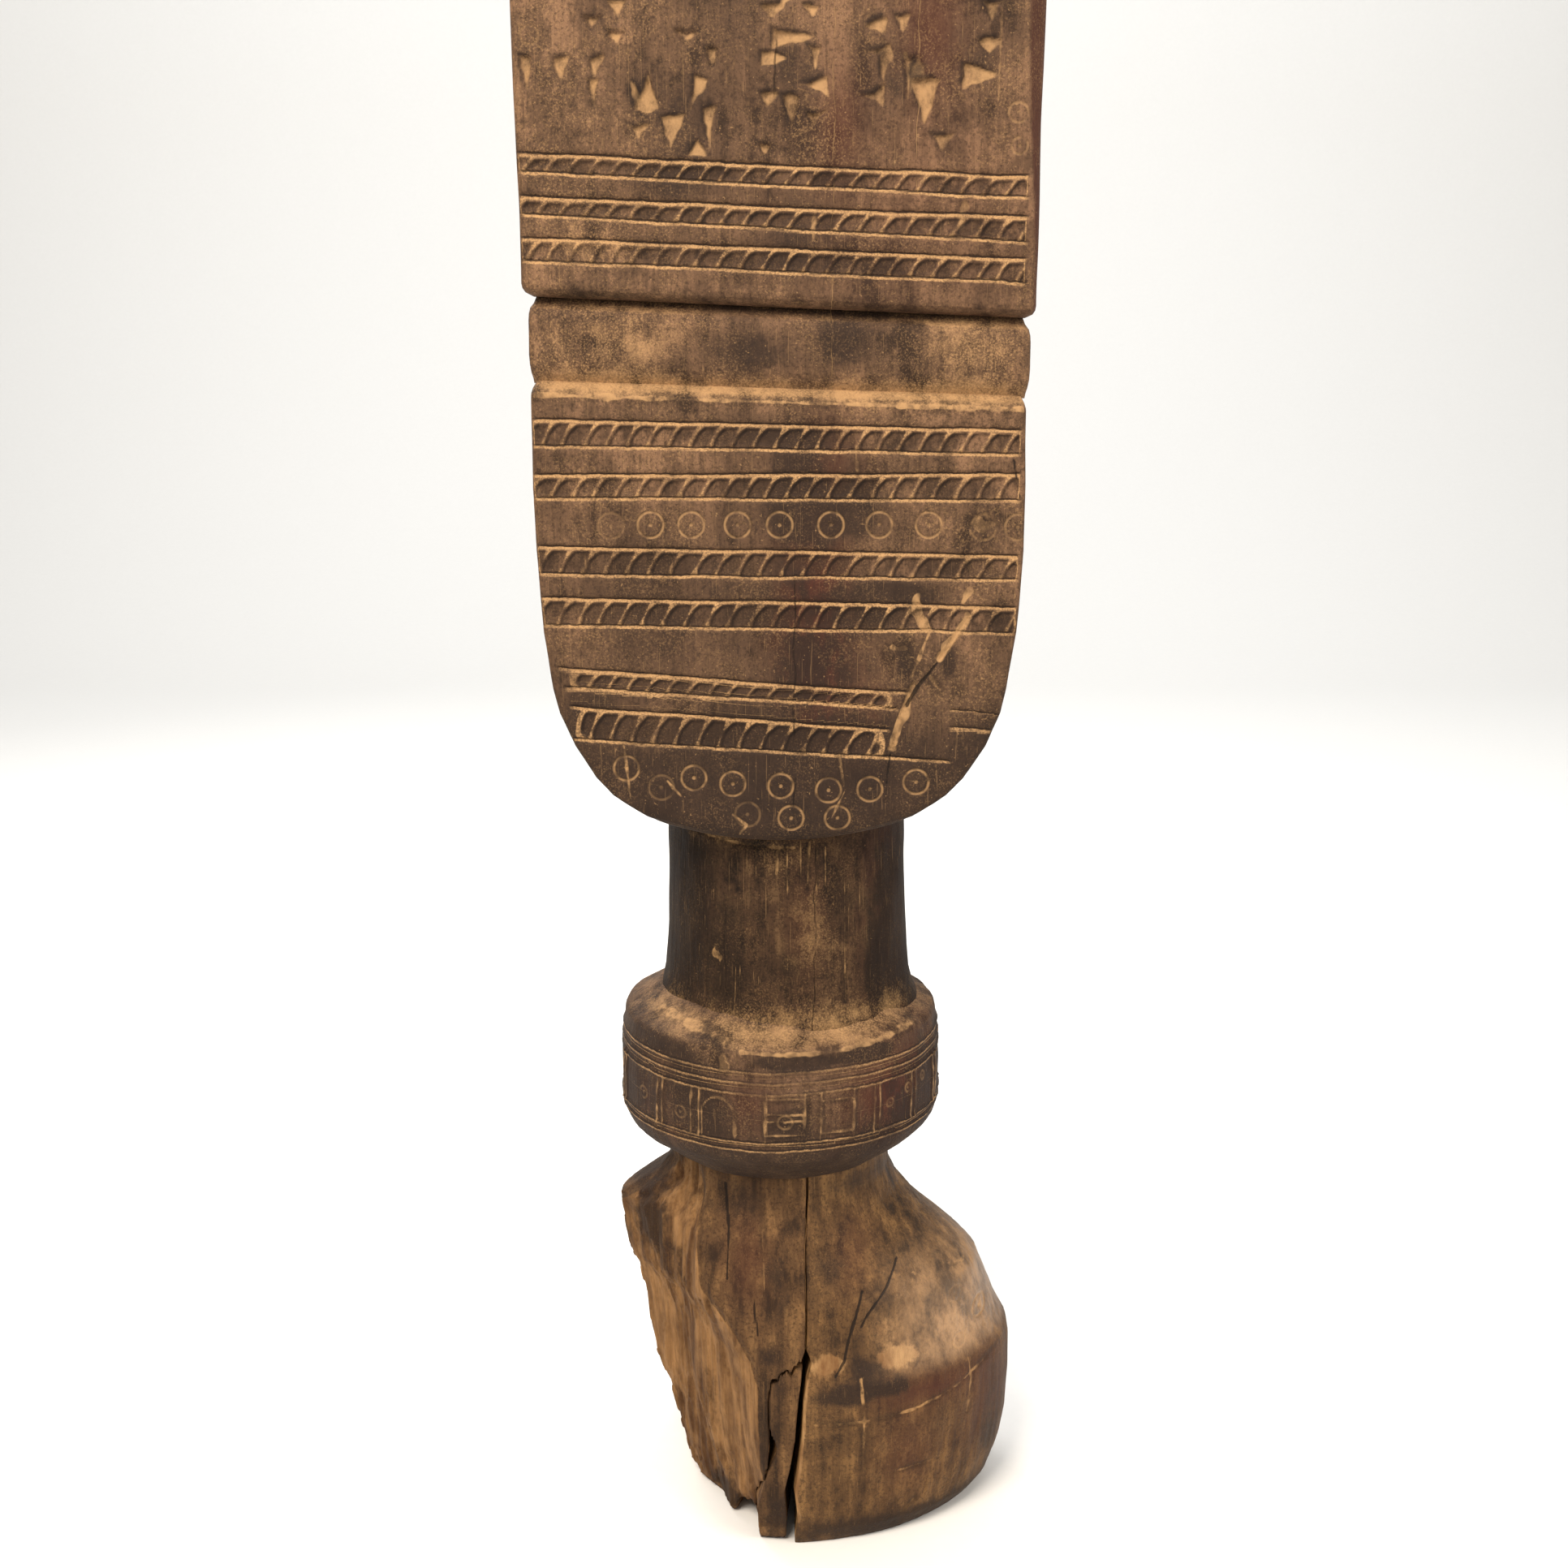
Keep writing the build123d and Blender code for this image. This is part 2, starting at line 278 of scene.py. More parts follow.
@dataclass
class KnifeWork:
    """All that was cut or has happened to one ornamented face."""

    rulings: Sequence[Ruling] = ()
    bands: Sequence[RopeBand] = ()
    chips: Sequence[Chip] = ()
    rings: Sequence[Ring] = ()
    gouges: Sequence[Gouge] = ()
    cracks: Sequence[Gouge] = ()
    scores: Sequence[Gouge] = ()
    soot: Sequence[Stain] = ()
    rust: Sequence[Stain] = ()
    pale: Sequence[Stain] = ()
    dust: Sequence[Stain] = ()
    seed: int = 5
    groove: float = 0.6
    ring_depth: float = 0.22

    def measure(self, x: np.ndarray, z: np.ndarray) -> dict[str, np.ndarray]:
        """Work out every mark at the given points of the face.

        Args:
            x: places across the face.
            z: heights.

        Returns:
            The cut depth and the named marks that the finish reads.
        """
        wobble = Lattice(self.seed)
        spot = np.stack([x, np.zeros_like(x), z], -1)
        marks = {key: np.zeros(x.shape) for key in ("soot", "rust", "pale", "dust", "lee")}
        marks["rule"], marks["rule_on"], marks["flip"] = self._rulings(x, z, wobble)
        depth = self.groove * marks["rule_on"] * np.exp(-(marks["rule"] / 0.42) ** 2)
        chip, rope = np.full(x.shape, -1.5), np.full(x.shape, -1.5)
        ragged = 0.42 * wobble.at(spot, (1.2, 1.0, 1.4)) + 0.62 * wobble.at(spot, (2.8, 1.0, 3.3))
        for order, band in enumerate(self.bands):
            cell = band.inside(x, z, wobble, self.seed + order)
            rope = np.maximum(rope, np.where(cell > -1.4, cell + 0.3 * ragged, cell))
            # Painted shade along the upper-left wall of each rope cell.
            behind = band.inside(x - 0.55, z + 0.5, wobble, self.seed + order)
            marks["lee"] = np.maximum(marks["lee"], ramp(behind, 0.1, -0.3) * ramp(cell, -0.1, 0.2))
        depth = depth + np.clip(rope + 0.1, 0, 0.6) * 1.0
        for item in self.chips:
            inside = item.inside(x, z) + ragged * 0.8 + 0.42
            ahead = item.inside(x + 0.8, z - 0.8) + ragged * 0.8 + 0.42
            depth = np.maximum(depth, np.clip(inside * 1.5, 0, item.depth * item.slope(x, z)))
            # Painted shade on the chip's upper-left wall, which faces away from the light.
            shade = ramp(ahead, -0.2, 0.7) * ramp(inside, 0.55, 0.0) * (1 - item.worn)
            marks["lee"] = np.maximum(marks["lee"], shade)
            chip = np.maximum(chip, inside - item.worn)
        for gouge in self.gouges:
            inside = gouge.inside(x, z) + ragged * min(1.0, gouge.wide)
            depth = np.maximum(depth, np.clip(inside * 0.9, 0, gouge.depth))
            chip = np.maximum(chip, inside)
        marks["score"] = np.full(x.shape, 3.0)
        for score in self.scores:
            away = score.faint - score.inside(x, z) + ragged * min(1.3, 0.3 + 0.5 * score.wide ** 1.5)
            marks["score"] = np.minimum(marks["score"], away)
            depth = depth + score.depth * np.exp(-(np.maximum(away, 0) / 0.4) ** 2)
        marks["crack"] = np.full(x.shape, 3.0)
        for crack in self.cracks:
            away = crack.wide / 2 - crack.inside(x, z) + 0.3 * ragged
            marks["crack"] = np.minimum(marks["crack"], np.maximum(away - crack.wide / 2, 0))
            depth = depth + crack.depth * np.exp(-(away / 0.35) ** 2)
        marks["chip"], marks["rope"] = np.clip(chip, -1.5, 1.5), rope
        marks["ring"], marks["ring_on"] = self._rings(x, z)
        depth = depth + self.ring_depth * marks["ring_on"] * np.exp(-(marks["ring"] / 0.3) ** 2)
        stained = {"soot": self.soot, "rust": self.rust, "pale": self.pale, "dust": self.dust}
        for key, stains in stained.items():
            for stain in stains:
                marks[key] += stain.at(x, z)
        marks["worn"] = np.clip(marks["dust"] * 2.0, 0, 1)
        marks["depth"] = depth
        return marks

    def _rulings(self, x: np.ndarray, z: np.ndarray, wobble: Lattice) -> tuple[np.ndarray, ...]:
        """Distance to the nearest ruling, whether it is there, and its alternating side."""
        if not self.rulings:
            return np.full(x.shape, 9.0), np.zeros(x.shape), np.ones(x.shape)
        lines = sorted(self.rulings, key=lambda line: line.left + line.right)
        heights = [line.height(x, wobble) for line in lines]
        heights = [heights[0] - 6.0] + heights + [heights[-1] + 6.0]
        order = np.zeros(x.shape)
        gap = np.full(x.shape, 6.0)
        for index, (low, high) in enumerate(zip(heights, heights[1:])):
            here = (z >= low) & (z < high)
            order = np.where(here, index + (z - low) / (high - low), order)
            gap = np.where(here, high - low, gap)
        last = len(heights) - 1
        order = np.where(z >= heights[-1], last - 0.02, order)
        order = np.where(z < heights[0], 0.02, order)
        nearest = np.clip(np.round(order).astype(int), 0, last)
        present = np.zeros(x.shape)
        for index, line in enumerate(lines, start=1):
            ends = ramp(x, line.start - 0.6, line.start + 0.6) * ramp(x, line.stop + 0.6, line.stop - 0.6)
            present = np.where(nearest == index, ends * line.weight, present)
        distance = np.sin(np.pi * order) * gap / np.pi
        return distance, present, np.where(nearest % 2 == 0, 1.0, -1.0)

    def _rings(self, x: np.ndarray, z: np.ndarray) -> tuple[np.ndarray, np.ndarray]:
        """Signed distance to the nearest ring or its dot, and how strong that ring is."""
        best = np.full(x.shape, 4.0)
        strength = np.zeros(x.shape)
        for ring in self.rings:
            away = np.hypot(x - ring.x, z - ring.z)
            half = ring.radius / 2
            dot = (0.22 - away) * half / (half - 0.22)
            near = np.where(away < half, dot, away - ring.radius)
            closer = away - ring.radius < best
            strength = np.where(closer, ring.weight, strength)
            best = np.where(closer, near, best)
        return np.clip(best, -3, 3), strength


# ---------------------------------------------------------------- skins

@dataclass
class Skin:
    """A closed mesh wrapped from a grid: columns run round the timber, rows run up it."""

    name: str
    points: np.ndarray
    marks: dict[str, np.ndarray] = field(default_factory=dict)

    def build(self, material: bpy.types.Material, slot: str, nodes: Sequence[str]) -> bpy.types.Object:
        """Make the object, merge its seam and poles, and hang it on the frame.

        Args:
            material: its finish.
            slot: the record's material slot; not used.
            nodes: the CAD nodes that it stands for.

        Returns:
            The finished object.
        """
        rows, columns = self.points.shape[:2]
        bpy.ops.object.select_all(action="DESELECT")
        bpy.ops.mesh.primitive_grid_add(x_subdivisions=columns, y_subdivisions=rows - 1, size=1)
        piece = bpy.context.active_object
        piece.name = self.name
        piece.data.name = self.name
        closed = np.concatenate([self.points, self.points[:, :1]], axis=1)
        place = (closed + np.array([AXIS_X, 0, 0])) * MM
        piece.data.vertices.foreach_set("co", place.reshape(-1).astype(np.float32))
        for key, values in self.marks.items():
            layer = piece.data.attributes.new(key, "FLOAT", "POINT")
            wrapped = np.concatenate([values, values[:, :1]], axis=1)
            layer.data.foreach_set("value", wrapped.reshape(-1).astype(np.float32))
        bpy.ops.object.mode_set(mode="EDIT")
        bpy.ops.mesh.select_all(action="SELECT")
        bpy.ops.mesh.remove_doubles(threshold=MERGE)
        bpy.ops.mesh.normals_make_consistent(inside=False)
        bpy.ops.object.mode_set(mode="OBJECT")
        bpy.ops.object.shade_smooth()
        while piece.data.uv_layers:
            piece.data.uv_layers.remove(piece.data.uv_layers[0])
        piece.data.materials.clear()
        piece.data.materials.append(material)
        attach(piece, BODY)
        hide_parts(*nodes)
        triangles = sum(len(face.vertices) - 2 for face in piece.data.polygons)
        LOG.info("%s: %d triangles", self.name, triangles)
        return piece


def spaced(start: float, stop: float, step: float) -> np.ndarray:
    """Even places from start to stop, about one step apart."""
    return np.linspace(start, stop, max(2, int(abs(stop - start) / step) + 1))


def block_loop(step: float, back_step: float, radius: float) -> np.ndarray:
    """Columns round a rounded rectangle.

    Args:
        step: spacing along the front.
        back_step: spacing along the sides and back.
        radius: corner radius.

    Returns:
        One row per column: straight share along X and Y, then the outward corner direction.
    """
    front = np.linspace(-1, 1, int(2 * HALF_WIDTH / step))
    side = np.linspace(-1, 1, int(2 * HALF_DEPTH / back_step))
    back = np.linspace(1, -1, int(2 * HALF_WIDTH / back_step))
    turn = np.linspace(0, math.pi / 2, 6)[1:-1]
    loop = [(f, -1.0, 0.0, -1.0) for f in front]
    loop += [(1.0, -1.0, math.sin(t), -math.cos(t)) for t in turn]
    loop += [(1.0, s, 1.0, 0.0) for s in side]
    loop += [(1.0, 1.0, math.cos(t), math.sin(t)) for t in turn]
    loop += [(b, 1.0, 0.0, 1.0) for b in back]
    loop += [(-1.0, 1.0, -math.sin(t), math.cos(t)) for t in turn]
    loop += [(-1.0, -s, -1.0, 0.0) for s in side]
    loop += [(-1.0, -1.0, -math.cos(t), -math.sin(t)) for t in turn]
    return np.array(loop)


@dataclass
class Weathering:
    """The slow lumps, grain ridges and worn arrises that every surface of the timber has."""

    seed: int
    facet: float = 0.22
    ridge: float = 0.05

    def lift(self, points: np.ndarray) -> np.ndarray:
        """How far the surface stands proud at each point."""
        lattice = Lattice(self.seed)
        slow = self.facet * lattice.at(points, (14.0, 14.0, 19.0))
        middle = 0.4 * self.facet * lattice.at(points, (4.5, 4.5, 8.0))
        return slow + middle + self.ridge * lattice.at(points, (0.8, 0.8, 13.0))


@dataclass
class Panel:
    """A flat-fronted zone of the timber: outline, ornament and end bevels."""

    name: str
    slot: str
    half_width: Callable[[np.ndarray], np.ndarray]
    half_depth: float
    low: Callable[[np.ndarray], np.ndarray]
    high: Callable[[np.ndarray], np.ndarray]
    work: KnifeWork
    bevel_low: Sequence[tuple[float, float]] = ()
    bevel_high: Sequence[tuple[float, float]] = ()
    step: float = 0.42
    back_step: float = 1.5
    row_step: float = 0.42
    radius: float = 1.7
    bulge: Callable[[np.ndarray], np.ndarray] | None = None
    bevel_side: Callable[[np.ndarray], np.ndarray] | None = None
    side_share: float = 1.0     # how much of the end bevel's inset the two sides take
    cap_rows: int = 22
    seed: int = 11

    def rows(self) -> list[tuple[str, float, float]]:
        """The rows as (zone, share, inset): caps shrink to a pole, the wall runs between."""
        fade = np.linspace(0, 1, self.cap_rows + 1)
        tall = float(self.high(np.zeros(1))[0] - self.low(np.zeros(1))[0])
        start, stop = sum(s for _, s in self.bevel_low), sum(s for _, s in self.bevel_high)
        inset_low, inset_high = (sum(i for i, _ in b) for b in (self.bevel_low, self.bevel_high))
        rows = [("low", share, inset_low) for share in fade[::4]]
        rise, inset = 0.0, inset_low
        for back, up in self.bevel_low:
            for part in np.linspace(0, 1, 5)[1:]:
                rows.append(("foot", rise + up * part, inset - back * part))
            rise, inset = rise + up, inset - back
        for height in spaced(start, tall - stop, self.row_step)[1:]:
            rows.append(("wall", (height - start) / (tall - stop - start), 0.0))
        fall, inset = stop, 0.0
        for back, up in self.bevel_high:
            for part in np.linspace(0, 1, 5)[1:]:
                rows.append(("head", fall - up * part, inset + back * part))
            fall, inset = fall - up, inset + back
        rows += [("high", share, inset_high) for share in fade[::-1][1:]]
        return rows

    def build(self, material: bpy.types.Material) -> bpy.types.Object:
        """Wrap, carve and dress the panel."""
        loop = block_loop(self.step, self.back_step, self.radius)
        rows = self.rows()
        start, stop = sum(s for _, s in self.bevel_low), sum(s for _, s in self.bevel_high)
        points = np.zeros((len(rows), len(loop), 3))
        for index, (zone, share, inset) in enumerate(rows):
            guess = self.low(np.zeros(1)) + share if zone == "foot" else self.low(np.zeros(1))
            height = np.full(len(loop), float(guess[0]))
            for _ in range(6):
                wide = self.half_width(height) - inset * self.side_share
                deep = self.half_depth - inset + (self.bulge(height) if self.bulge else 0.0)
                x = loop[:, 0] * (wide - self.radius) + loop[:, 2] * self.radius
                y = loop[:, 1] * (deep - self.radius) + loop[:, 3] * self.radius
                if zone in ("low", "high"):
                    x, y = x * share, y * share
                low, high = self.low(x), self.high(x)
                height = {
                    "low": low,
                    "foot": low + share,
                    "wall": low + start + share * (high - stop - low - start),
                    "head": high - share,
                    "high": high,
                }[zone]
            points[index] = np.stack([x, y, height], -1)
        front = (loop[:, 1] == -1.0) & (loop[:, 3] < 0)
        marks = self.work.measure(points[..., 0], points[..., 2])
        facing = np.where(front, np.clip(-loop[:, 3], 0, 1) ** 2, 0.0)[None, :]
        wall = np.array([zone in ("foot", "wall", "head") for zone, _, _ in rows])[:, None]
        for key in ("rule_on", "ring_on"):
            marks[key] = marks[key] * facing * wall
        for key in ("chip", "rope"):
            marks[key] = np.where(facing * wall > 0.5, marks[key], -1.5)
        marks["lee"] = marks["lee"] * facing * wall
        for key in ("crack", "score"):
            marks[key] = np.where(facing * wall > 0.5, marks[key], 3.0)
        cut = marks.pop("depth") * facing * wall
        lift = Weathering(self.seed).lift(points)
        normal = np.zeros_like(points)
        normal[..., :2] = loop[None, :, 2:4]
        normal[~wall[:, 0]] = (0, 0, 1)
        normal[[zone == "low" for zone, _, _ in rows]] = (0, 0, -1)
        share = np.array([s if z in ("low", "high") else 1.0 for z, s, _ in rows])[:, None]
        points += normal * ((lift - 0.25) * np.where(wall, 1.0, 0.5 * share) - cut)[..., None]
        if self.bevel_side:
            past = np.maximum(points[..., 0] - self.bevel_side(points[..., 2]), 0.0)
            near = ramp(points[..., 1], 12.0 - self.half_depth, 2.0 - self.half_depth)
            points[..., 1] += past * 1.3 * near
            marks["rust"] += 0.9 * ramp(past, 0.1, 0.5) * near
        return Skin(self.name, points, marks).build(material, self.slot, [self.name])


# ---------------------------------------------------------------- finishes

def linear(code: str) -> tuple[float, float, float, float]:
    """An sRGB hex code as linear colour with full alpha."""
    parts = [int(code[i:i + 2], 16) / 255 for i in (1, 3, 5)]
    return tuple(p / 12.92 if p <= 0.04045 else ((p + 0.055) / 1.055) ** 2.4 for p in parts) + (1.0,)


def lumps(size: float) -> float:
    """Noise scale whose lumps are about size millimetres across."""
    return 1 / (size * MM)


@dataclass(frozen=True)
class Kind:
    """A kind of shader node: its settings, the sockets that its values go to, and its output."""

    name: str
    sockets: tuple[str | int, ...] = (0, 1, 2)
    output: str | int | None = 0
    settings: tuple[tuple[str, str], ...] = ()


TIMES, PLUS, MINUS, SIZE, BELOW = (
    Kind("ShaderNodeMath", settings=(("operation", name),))
    for name in ("MULTIPLY", "ADD", "SUBTRACT", "ABSOLUTE", "LESS_THAN")
)
# A smooth step: 0 at its first limit and 1 at its second, which may be the smaller.
STEP = Kind("ShaderNodeMapRange", settings=(("interpolation_type", "SMOOTHSTEP"),))
BLEND = Kind("ShaderNodeMix", (0, 6, 7), 2, (("data_type", "RGBA"),))
NOISE = Kind("ShaderNodeTexNoise", ("Vector", "Scale", "Detail", "Roughness"))
STRETCH = Kind("ShaderNodeMapping", ("Vector", "Scale"))
MARK = Kind("ShaderNodeAttribute", output="Fac")
PLACE = Kind("ShaderNodeTexCoord", output="Object")
NORMAL = Kind("ShaderNodeNewGeometry", output="Normal")
ACROSS, BACK, UP_AXIS = (Kind("ShaderNodeSeparateXYZ", (0,), axis) for axis in range(3))
BUMP = Kind("ShaderNodeBump", ("Strength", "Distance", "Height"))
SURFACE = Kind(
    "ShaderNodeBsdfPrincipled", ("Base Color", "Roughness", "Normal", "IOR", "Specular IOR Level")
)
OUTPUT = Kind("ShaderNodeOutputMaterial", (0,), None)
Wire = bpy.types.NodeSocket
Add = Callable[..., Wire]


class Paint:
    """A material whose node tree is grown with one function."""

    def __init__(self, name: str) -> None:
        """Start an empty material of that name."""
        self.material = bpy.data.materials.new(name)
        self.material.use_nodes = True
        self.tree = self.material.node_tree
        self.tree.nodes.clear()

    def add(self, kind: Kind, *values: object, **settings: object) -> Wire | None:
        """Add a node with its settings and links.

        Args:
            kind: what node it is.
            values: numbers, colours or other nodes' outputs, in the order of the kind's sockets.
            settings: properties of the node, beyond the kind's own.

        Returns:
            The output that this kind is read by.
        """
        node = self.tree.nodes.new(kind.name)
        for key, value in (*kind.settings, *settings.items()):
            setattr(node, key, value)
        for key, value in zip(kind.sockets, values):
            if isinstance(value, Wire):
                self.tree.links.new(value, node.inputs[key])
            else:
                node.inputs[key].default_value = value
        return None if kind.output is None else node.outputs[kind.output]


@dataclass(frozen=True)
class Hairline:
    """A drying crack that runs up the timber."""

    x: float
    lean: float
    low: float
    high: float
    wide: float = 0.16
    pale: bool = False


class Grain:
    """The patterns and carved marks that every finish of this timber is mixed from."""

    MARKS = (
        "rust", "pale", "gloss_and_highlight", "dust", "soot", "chip", "rope", "worn", "lee", "rule", "flip",
        "rule_on", "ring", "ring_on", "score", "crack",
    )

    def __init__(self, add: Add) -> None:
        """Grow the patterns; each is as wide as the thing it stands for, in millimetres.

        Args:
            add: the paint's own function that adds a node.
        """
        self.mark = {name: add(MARK, attribute_name=name) for name in self.MARKS}
        self.where = add(PLACE)
        # Grain runs up the timber: 1 mm wide bands stretched to about 25 mm long.
        grain_at = add(STRETCH, self.where, (1.0, 1.0, 0.045))
        self.broad = add(NOISE, grain_at, lumps(3.2), 4.0, 0.55)
        self.fine = add(NOISE, grain_at, lumps(0.55), 3.0, 0.55)
        # Smoke and handling leave clouds 15 to 40 mm across.
        self.cloud = add(NOISE, self.where, lumps(26.0), 4.0, 0.6)
        self.blotch = add(NOISE, add(STRETCH, self.where, (1.0, 1.0, 0.5)), lumps(7.0), 4.0, 0.65)
        # Pores of 0.3 mm, 6 mm long, filled with dust or dark.
        self.pores = add(NOISE, add(STRETCH, self.where, (1.0, 1.0, 0.06)), lumps(0.42), 1.0, 0.55)
        # Mottling with crisp edges, 2 to 8 mm, where the oiled skin has worn or flaked.
        self.mottle = add(NOISE, add(STRETCH, self.where, (1.0, 1.0, 0.7)), lumps(7.5), 8.0, 0.74)
        self.grit = add(NOISE, self.where, lumps(0.42), 2.0, 0.7)
        # Straight torn fibres of split wood, 0.8 mm wide and 23 mm long.
        self.fibre = add(NOISE, add(STRETCH, self.where, (1.0, 1.0, 0.035)), lumps(0.8), 5.0, 0.75)
        # A hand's tremor: it moves the edges of cuts by a quarter of a millimetre.
        tremor = add(MINUS, add(NOISE, self.where, lumps(1.5), 2.0, 0.55), 0.5)
        self.waver = add(TIMES, tremor, 0.5)


@dataclass(frozen=True)
class OldTimber:
    """Hand-carved dense tropical hardwood, oiled by handling and dry with house dust.

    Dry timber scatters light, so it is rough nearly all over; only handled shoulders shine.
    """

    name: str
    light: str
    middle: str
    dark: str
    # Soot colour, also laid as painted shade on sides, undersides and under overhangs.
    soot: str = "#261b15"
    rust: str = "#44241a"
    dust: str = "#a9845a"
    shadow: str = "#1d1410"     # near-black painted shade under the upper lip of every cut and on the shaded walls of chips and rope cells
    gap: str = "#140d09"        # the dark inside a crack
    powder: float = 0.5
    contrast: float = 0.6
    # Colour of the painted highlight on the glossy shoulder.
    polish: str = "#a9845e"
    ledge: float = 0.35
    specular: float = 0.16
    scratched: float = 0.16
    grain: float = 0.18
    rough: float = 0.72
    shine: float = 0.0
    fresh_light: str = "#b08a5c"
    fresh_dark: str = "#6f4c2c"
    hairlines: tuple[Hairline, ...] = ()

    def make(self) -> bpy.types.Material:
        """Grow the node tree.

        Returns:
            The material.
        """
        paint = Paint(self.name)
        add, grain = paint.add, Grain(paint.add)
        colour = self._oiled(add, grain)
        colour = self._split(add, grain, colour)
        colour = self._dusted(add, grain, colour)
        colour = self._chipped(add, grain, colour)
        colour, lip = self._ruled(add, grain, colour)
        colour, scored = self._scored(add, grain, colour)
        colour, gap = self._cracked(add, grain, colour)
        # A relief of 0.45 mm stands for the raised grain and grit.
        height = add(TIMES, grain.fine, 0.25)
        raised = (
            (grain.pores, 0.2), (grain.grit, 0.22), (grain.broad, 0.5), (grain.mottle, 1.1),
            (add(TIMES, grain.mark["pale"], grain.fibre), 0.8), (lip, -0.5), (scored, -0.35), (gap, -1.0),
        )
        for pattern, amount in raised:
            height = add(PLUS, height, add(TIMES, pattern, amount))
        bump = add(BUMP, 0.8, 0.45 * MM, height)
        gloss_and_highlight = grain.mark["gloss_and_highlight"]
        rough = add(MINUS, self.rough, add(TIMES, gloss_and_highlight, self.shine))
        rough = add(PLUS, rough, add(TIMES, add(MINUS, grain.grit, 0.5), 0.25))
        specular = add(PLUS, self.specular, add(TIMES, gloss_and_highlight, 0.45))
        add(OUTPUT, add(SURFACE, colour, rough, bump, 1.5, specular))
        return paint.material

    def _oiled(self, add: Add, grain: Grain) -> Wire:
        """Oiled heartwood: light and dark by grain, flaked patches and clouds, and pitted."""
        tone = add(TIMES, grain.broad, self.grain)
        tone = add(PLUS, tone, add(TIMES, grain.mottle, 0.78 - self.grain))
        tone = add(PLUS, tone, add(TIMES, grain.cloud, 0.22))
        tone = add(STEP, tone, 0.37, 0.63)
        colour = add(BLEND, add(STEP, tone, 0.0, 0.5), linear(self.dark), linear(self.middle))
        colour = add(BLEND, add(TIMES, add(STEP, tone, 0.5, 1.0), 0.85), colour, linear(self.light))
        streak = add(TIMES, add(STEP, grain.fine, 0.50, 0.36), self.contrast * 0.45)
        colour = add(BLEND, streak, colour, linear(self.dark))
        pitted = add(STEP, add(NOISE, grain.where, lumps(0.75), 3.0, 0.7), 0.52, 0.34)
        colour = add(BLEND, add(TIMES, pitted, self.contrast), colour, linear(self.dark))
        return add(BLEND, add(TIMES, grain.mark["rust"], 0.85), colour, linear(self.rust))

    def _split(self, add: Add, grain: Grain, colour: Wire) -> Wire:
        """Bare split wood with pale straight fibres, and a painted highlight on shoulders buffed by hands."""
        drawn = add(PLUS, add(TIMES, grain.broad, 0.45), add(TIMES, grain.blotch, 0.55))
        bare = add(BLEND, add(STEP, drawn, 0.36, 0.64), linear(self.fresh_dark), linear(self.fresh_light))
        bare = add(BLEND, add(TIMES, add(STEP, grain.fibre, 0.56, 0.38), 0.35), bare, linear(self.fresh_dark))
        ragged = add(PLUS, grain.mark["pale"], add(TIMES, add(MINUS, grain.mottle, 0.5), 1.6))
        colour = add(BLEND, add(TIMES, add(STEP, ragged, 0.35, 0.6), 0.9), colour, bare)
        # Painted highlight: the glossy shoulder is lightened towards the highlight colour.
        highlight_share = add(TIMES, grain.mark["gloss_and_highlight"], add(PLUS, add(STEP, grain.mottle, 0.38, 0.62), 0.35))
        return add(BLEND, add(TIMES, highlight_share, 0.72), colour, linear(self.polish))

    def _dusted(self, add: Add, grain: Grain, colour: Wire) -> Wire:
        """Soot and painted shade, then dust: powder on the open face, specks in the grain, more on ledges."""
        where, grit, mottle = grain.where, grain.grit, grain.mottle
        # Soot and painted shade from the placed patches, plus random soot by the mottle.
        soot = add(PLUS, grain.mark["soot"], add(TIMES, add(MINUS, mottle, 0.5), 2.2))
        soot = add(TIMES, add(STEP, soot, 0.18, 0.72), 0.88)
        colour = add(BLEND, soot, colour, linear(self.soot))
        drift = add(STEP, add(NOISE, where, lumps(11.0), 3.0, 0.55), 0.32, 0.70)
        powder = add(TIMES, add(STEP, grit, 0.46, 0.72), add(PLUS, drift, grain.mark["dust"]))
        powder = add(TIMES, add(TIMES, powder, self.powder), add(MINUS, 1.0, add(TIMES, soot, 0.55)))
        pore_dust = add(TIMES, add(STEP, grain.pores, 0.67, 0.76), 0.4 * self.powder)
        # Long light scratches up the grain, 0.3 mm wide and 25 mm long.
        scratch = add(NOISE, add(STRETCH, where, (1.0, 1.0, 0.012)), lumps(0.34), 1.0, 0.55)
        scratch = add(TIMES, add(STEP, scratch, 0.70, 0.76), self.scratched)
        # Light specks of grit, a third of a millimetre across, caught in the open grain.
        speck = add(TIMES, add(STEP, add(NOISE, where, lumps(0.62), 1.0, 0.55), 0.70, 0.79), self.powder)
        up = add(STEP, add(UP_AXIS, add(NORMAL)), 0.25, 0.85)
        lying = add(PLUS, add(TIMES, up, self.ledge), add(TIMES, grain.mark["dust"], 0.8))
        uneven = add(PLUS, add(TIMES, grit, 0.9), add(TIMES, mottle, 2.2))
        lying = add(PLUS, lying, add(MINUS, uneven, 1.55))
        lying = add(TIMES, add(STEP, lying, 0.24, 1.35), 0.84)
        for share in (powder, pore_dust, scratch, speck, lying):
            colour = add(BLEND, share, colour, linear(self.dust))
        return colour

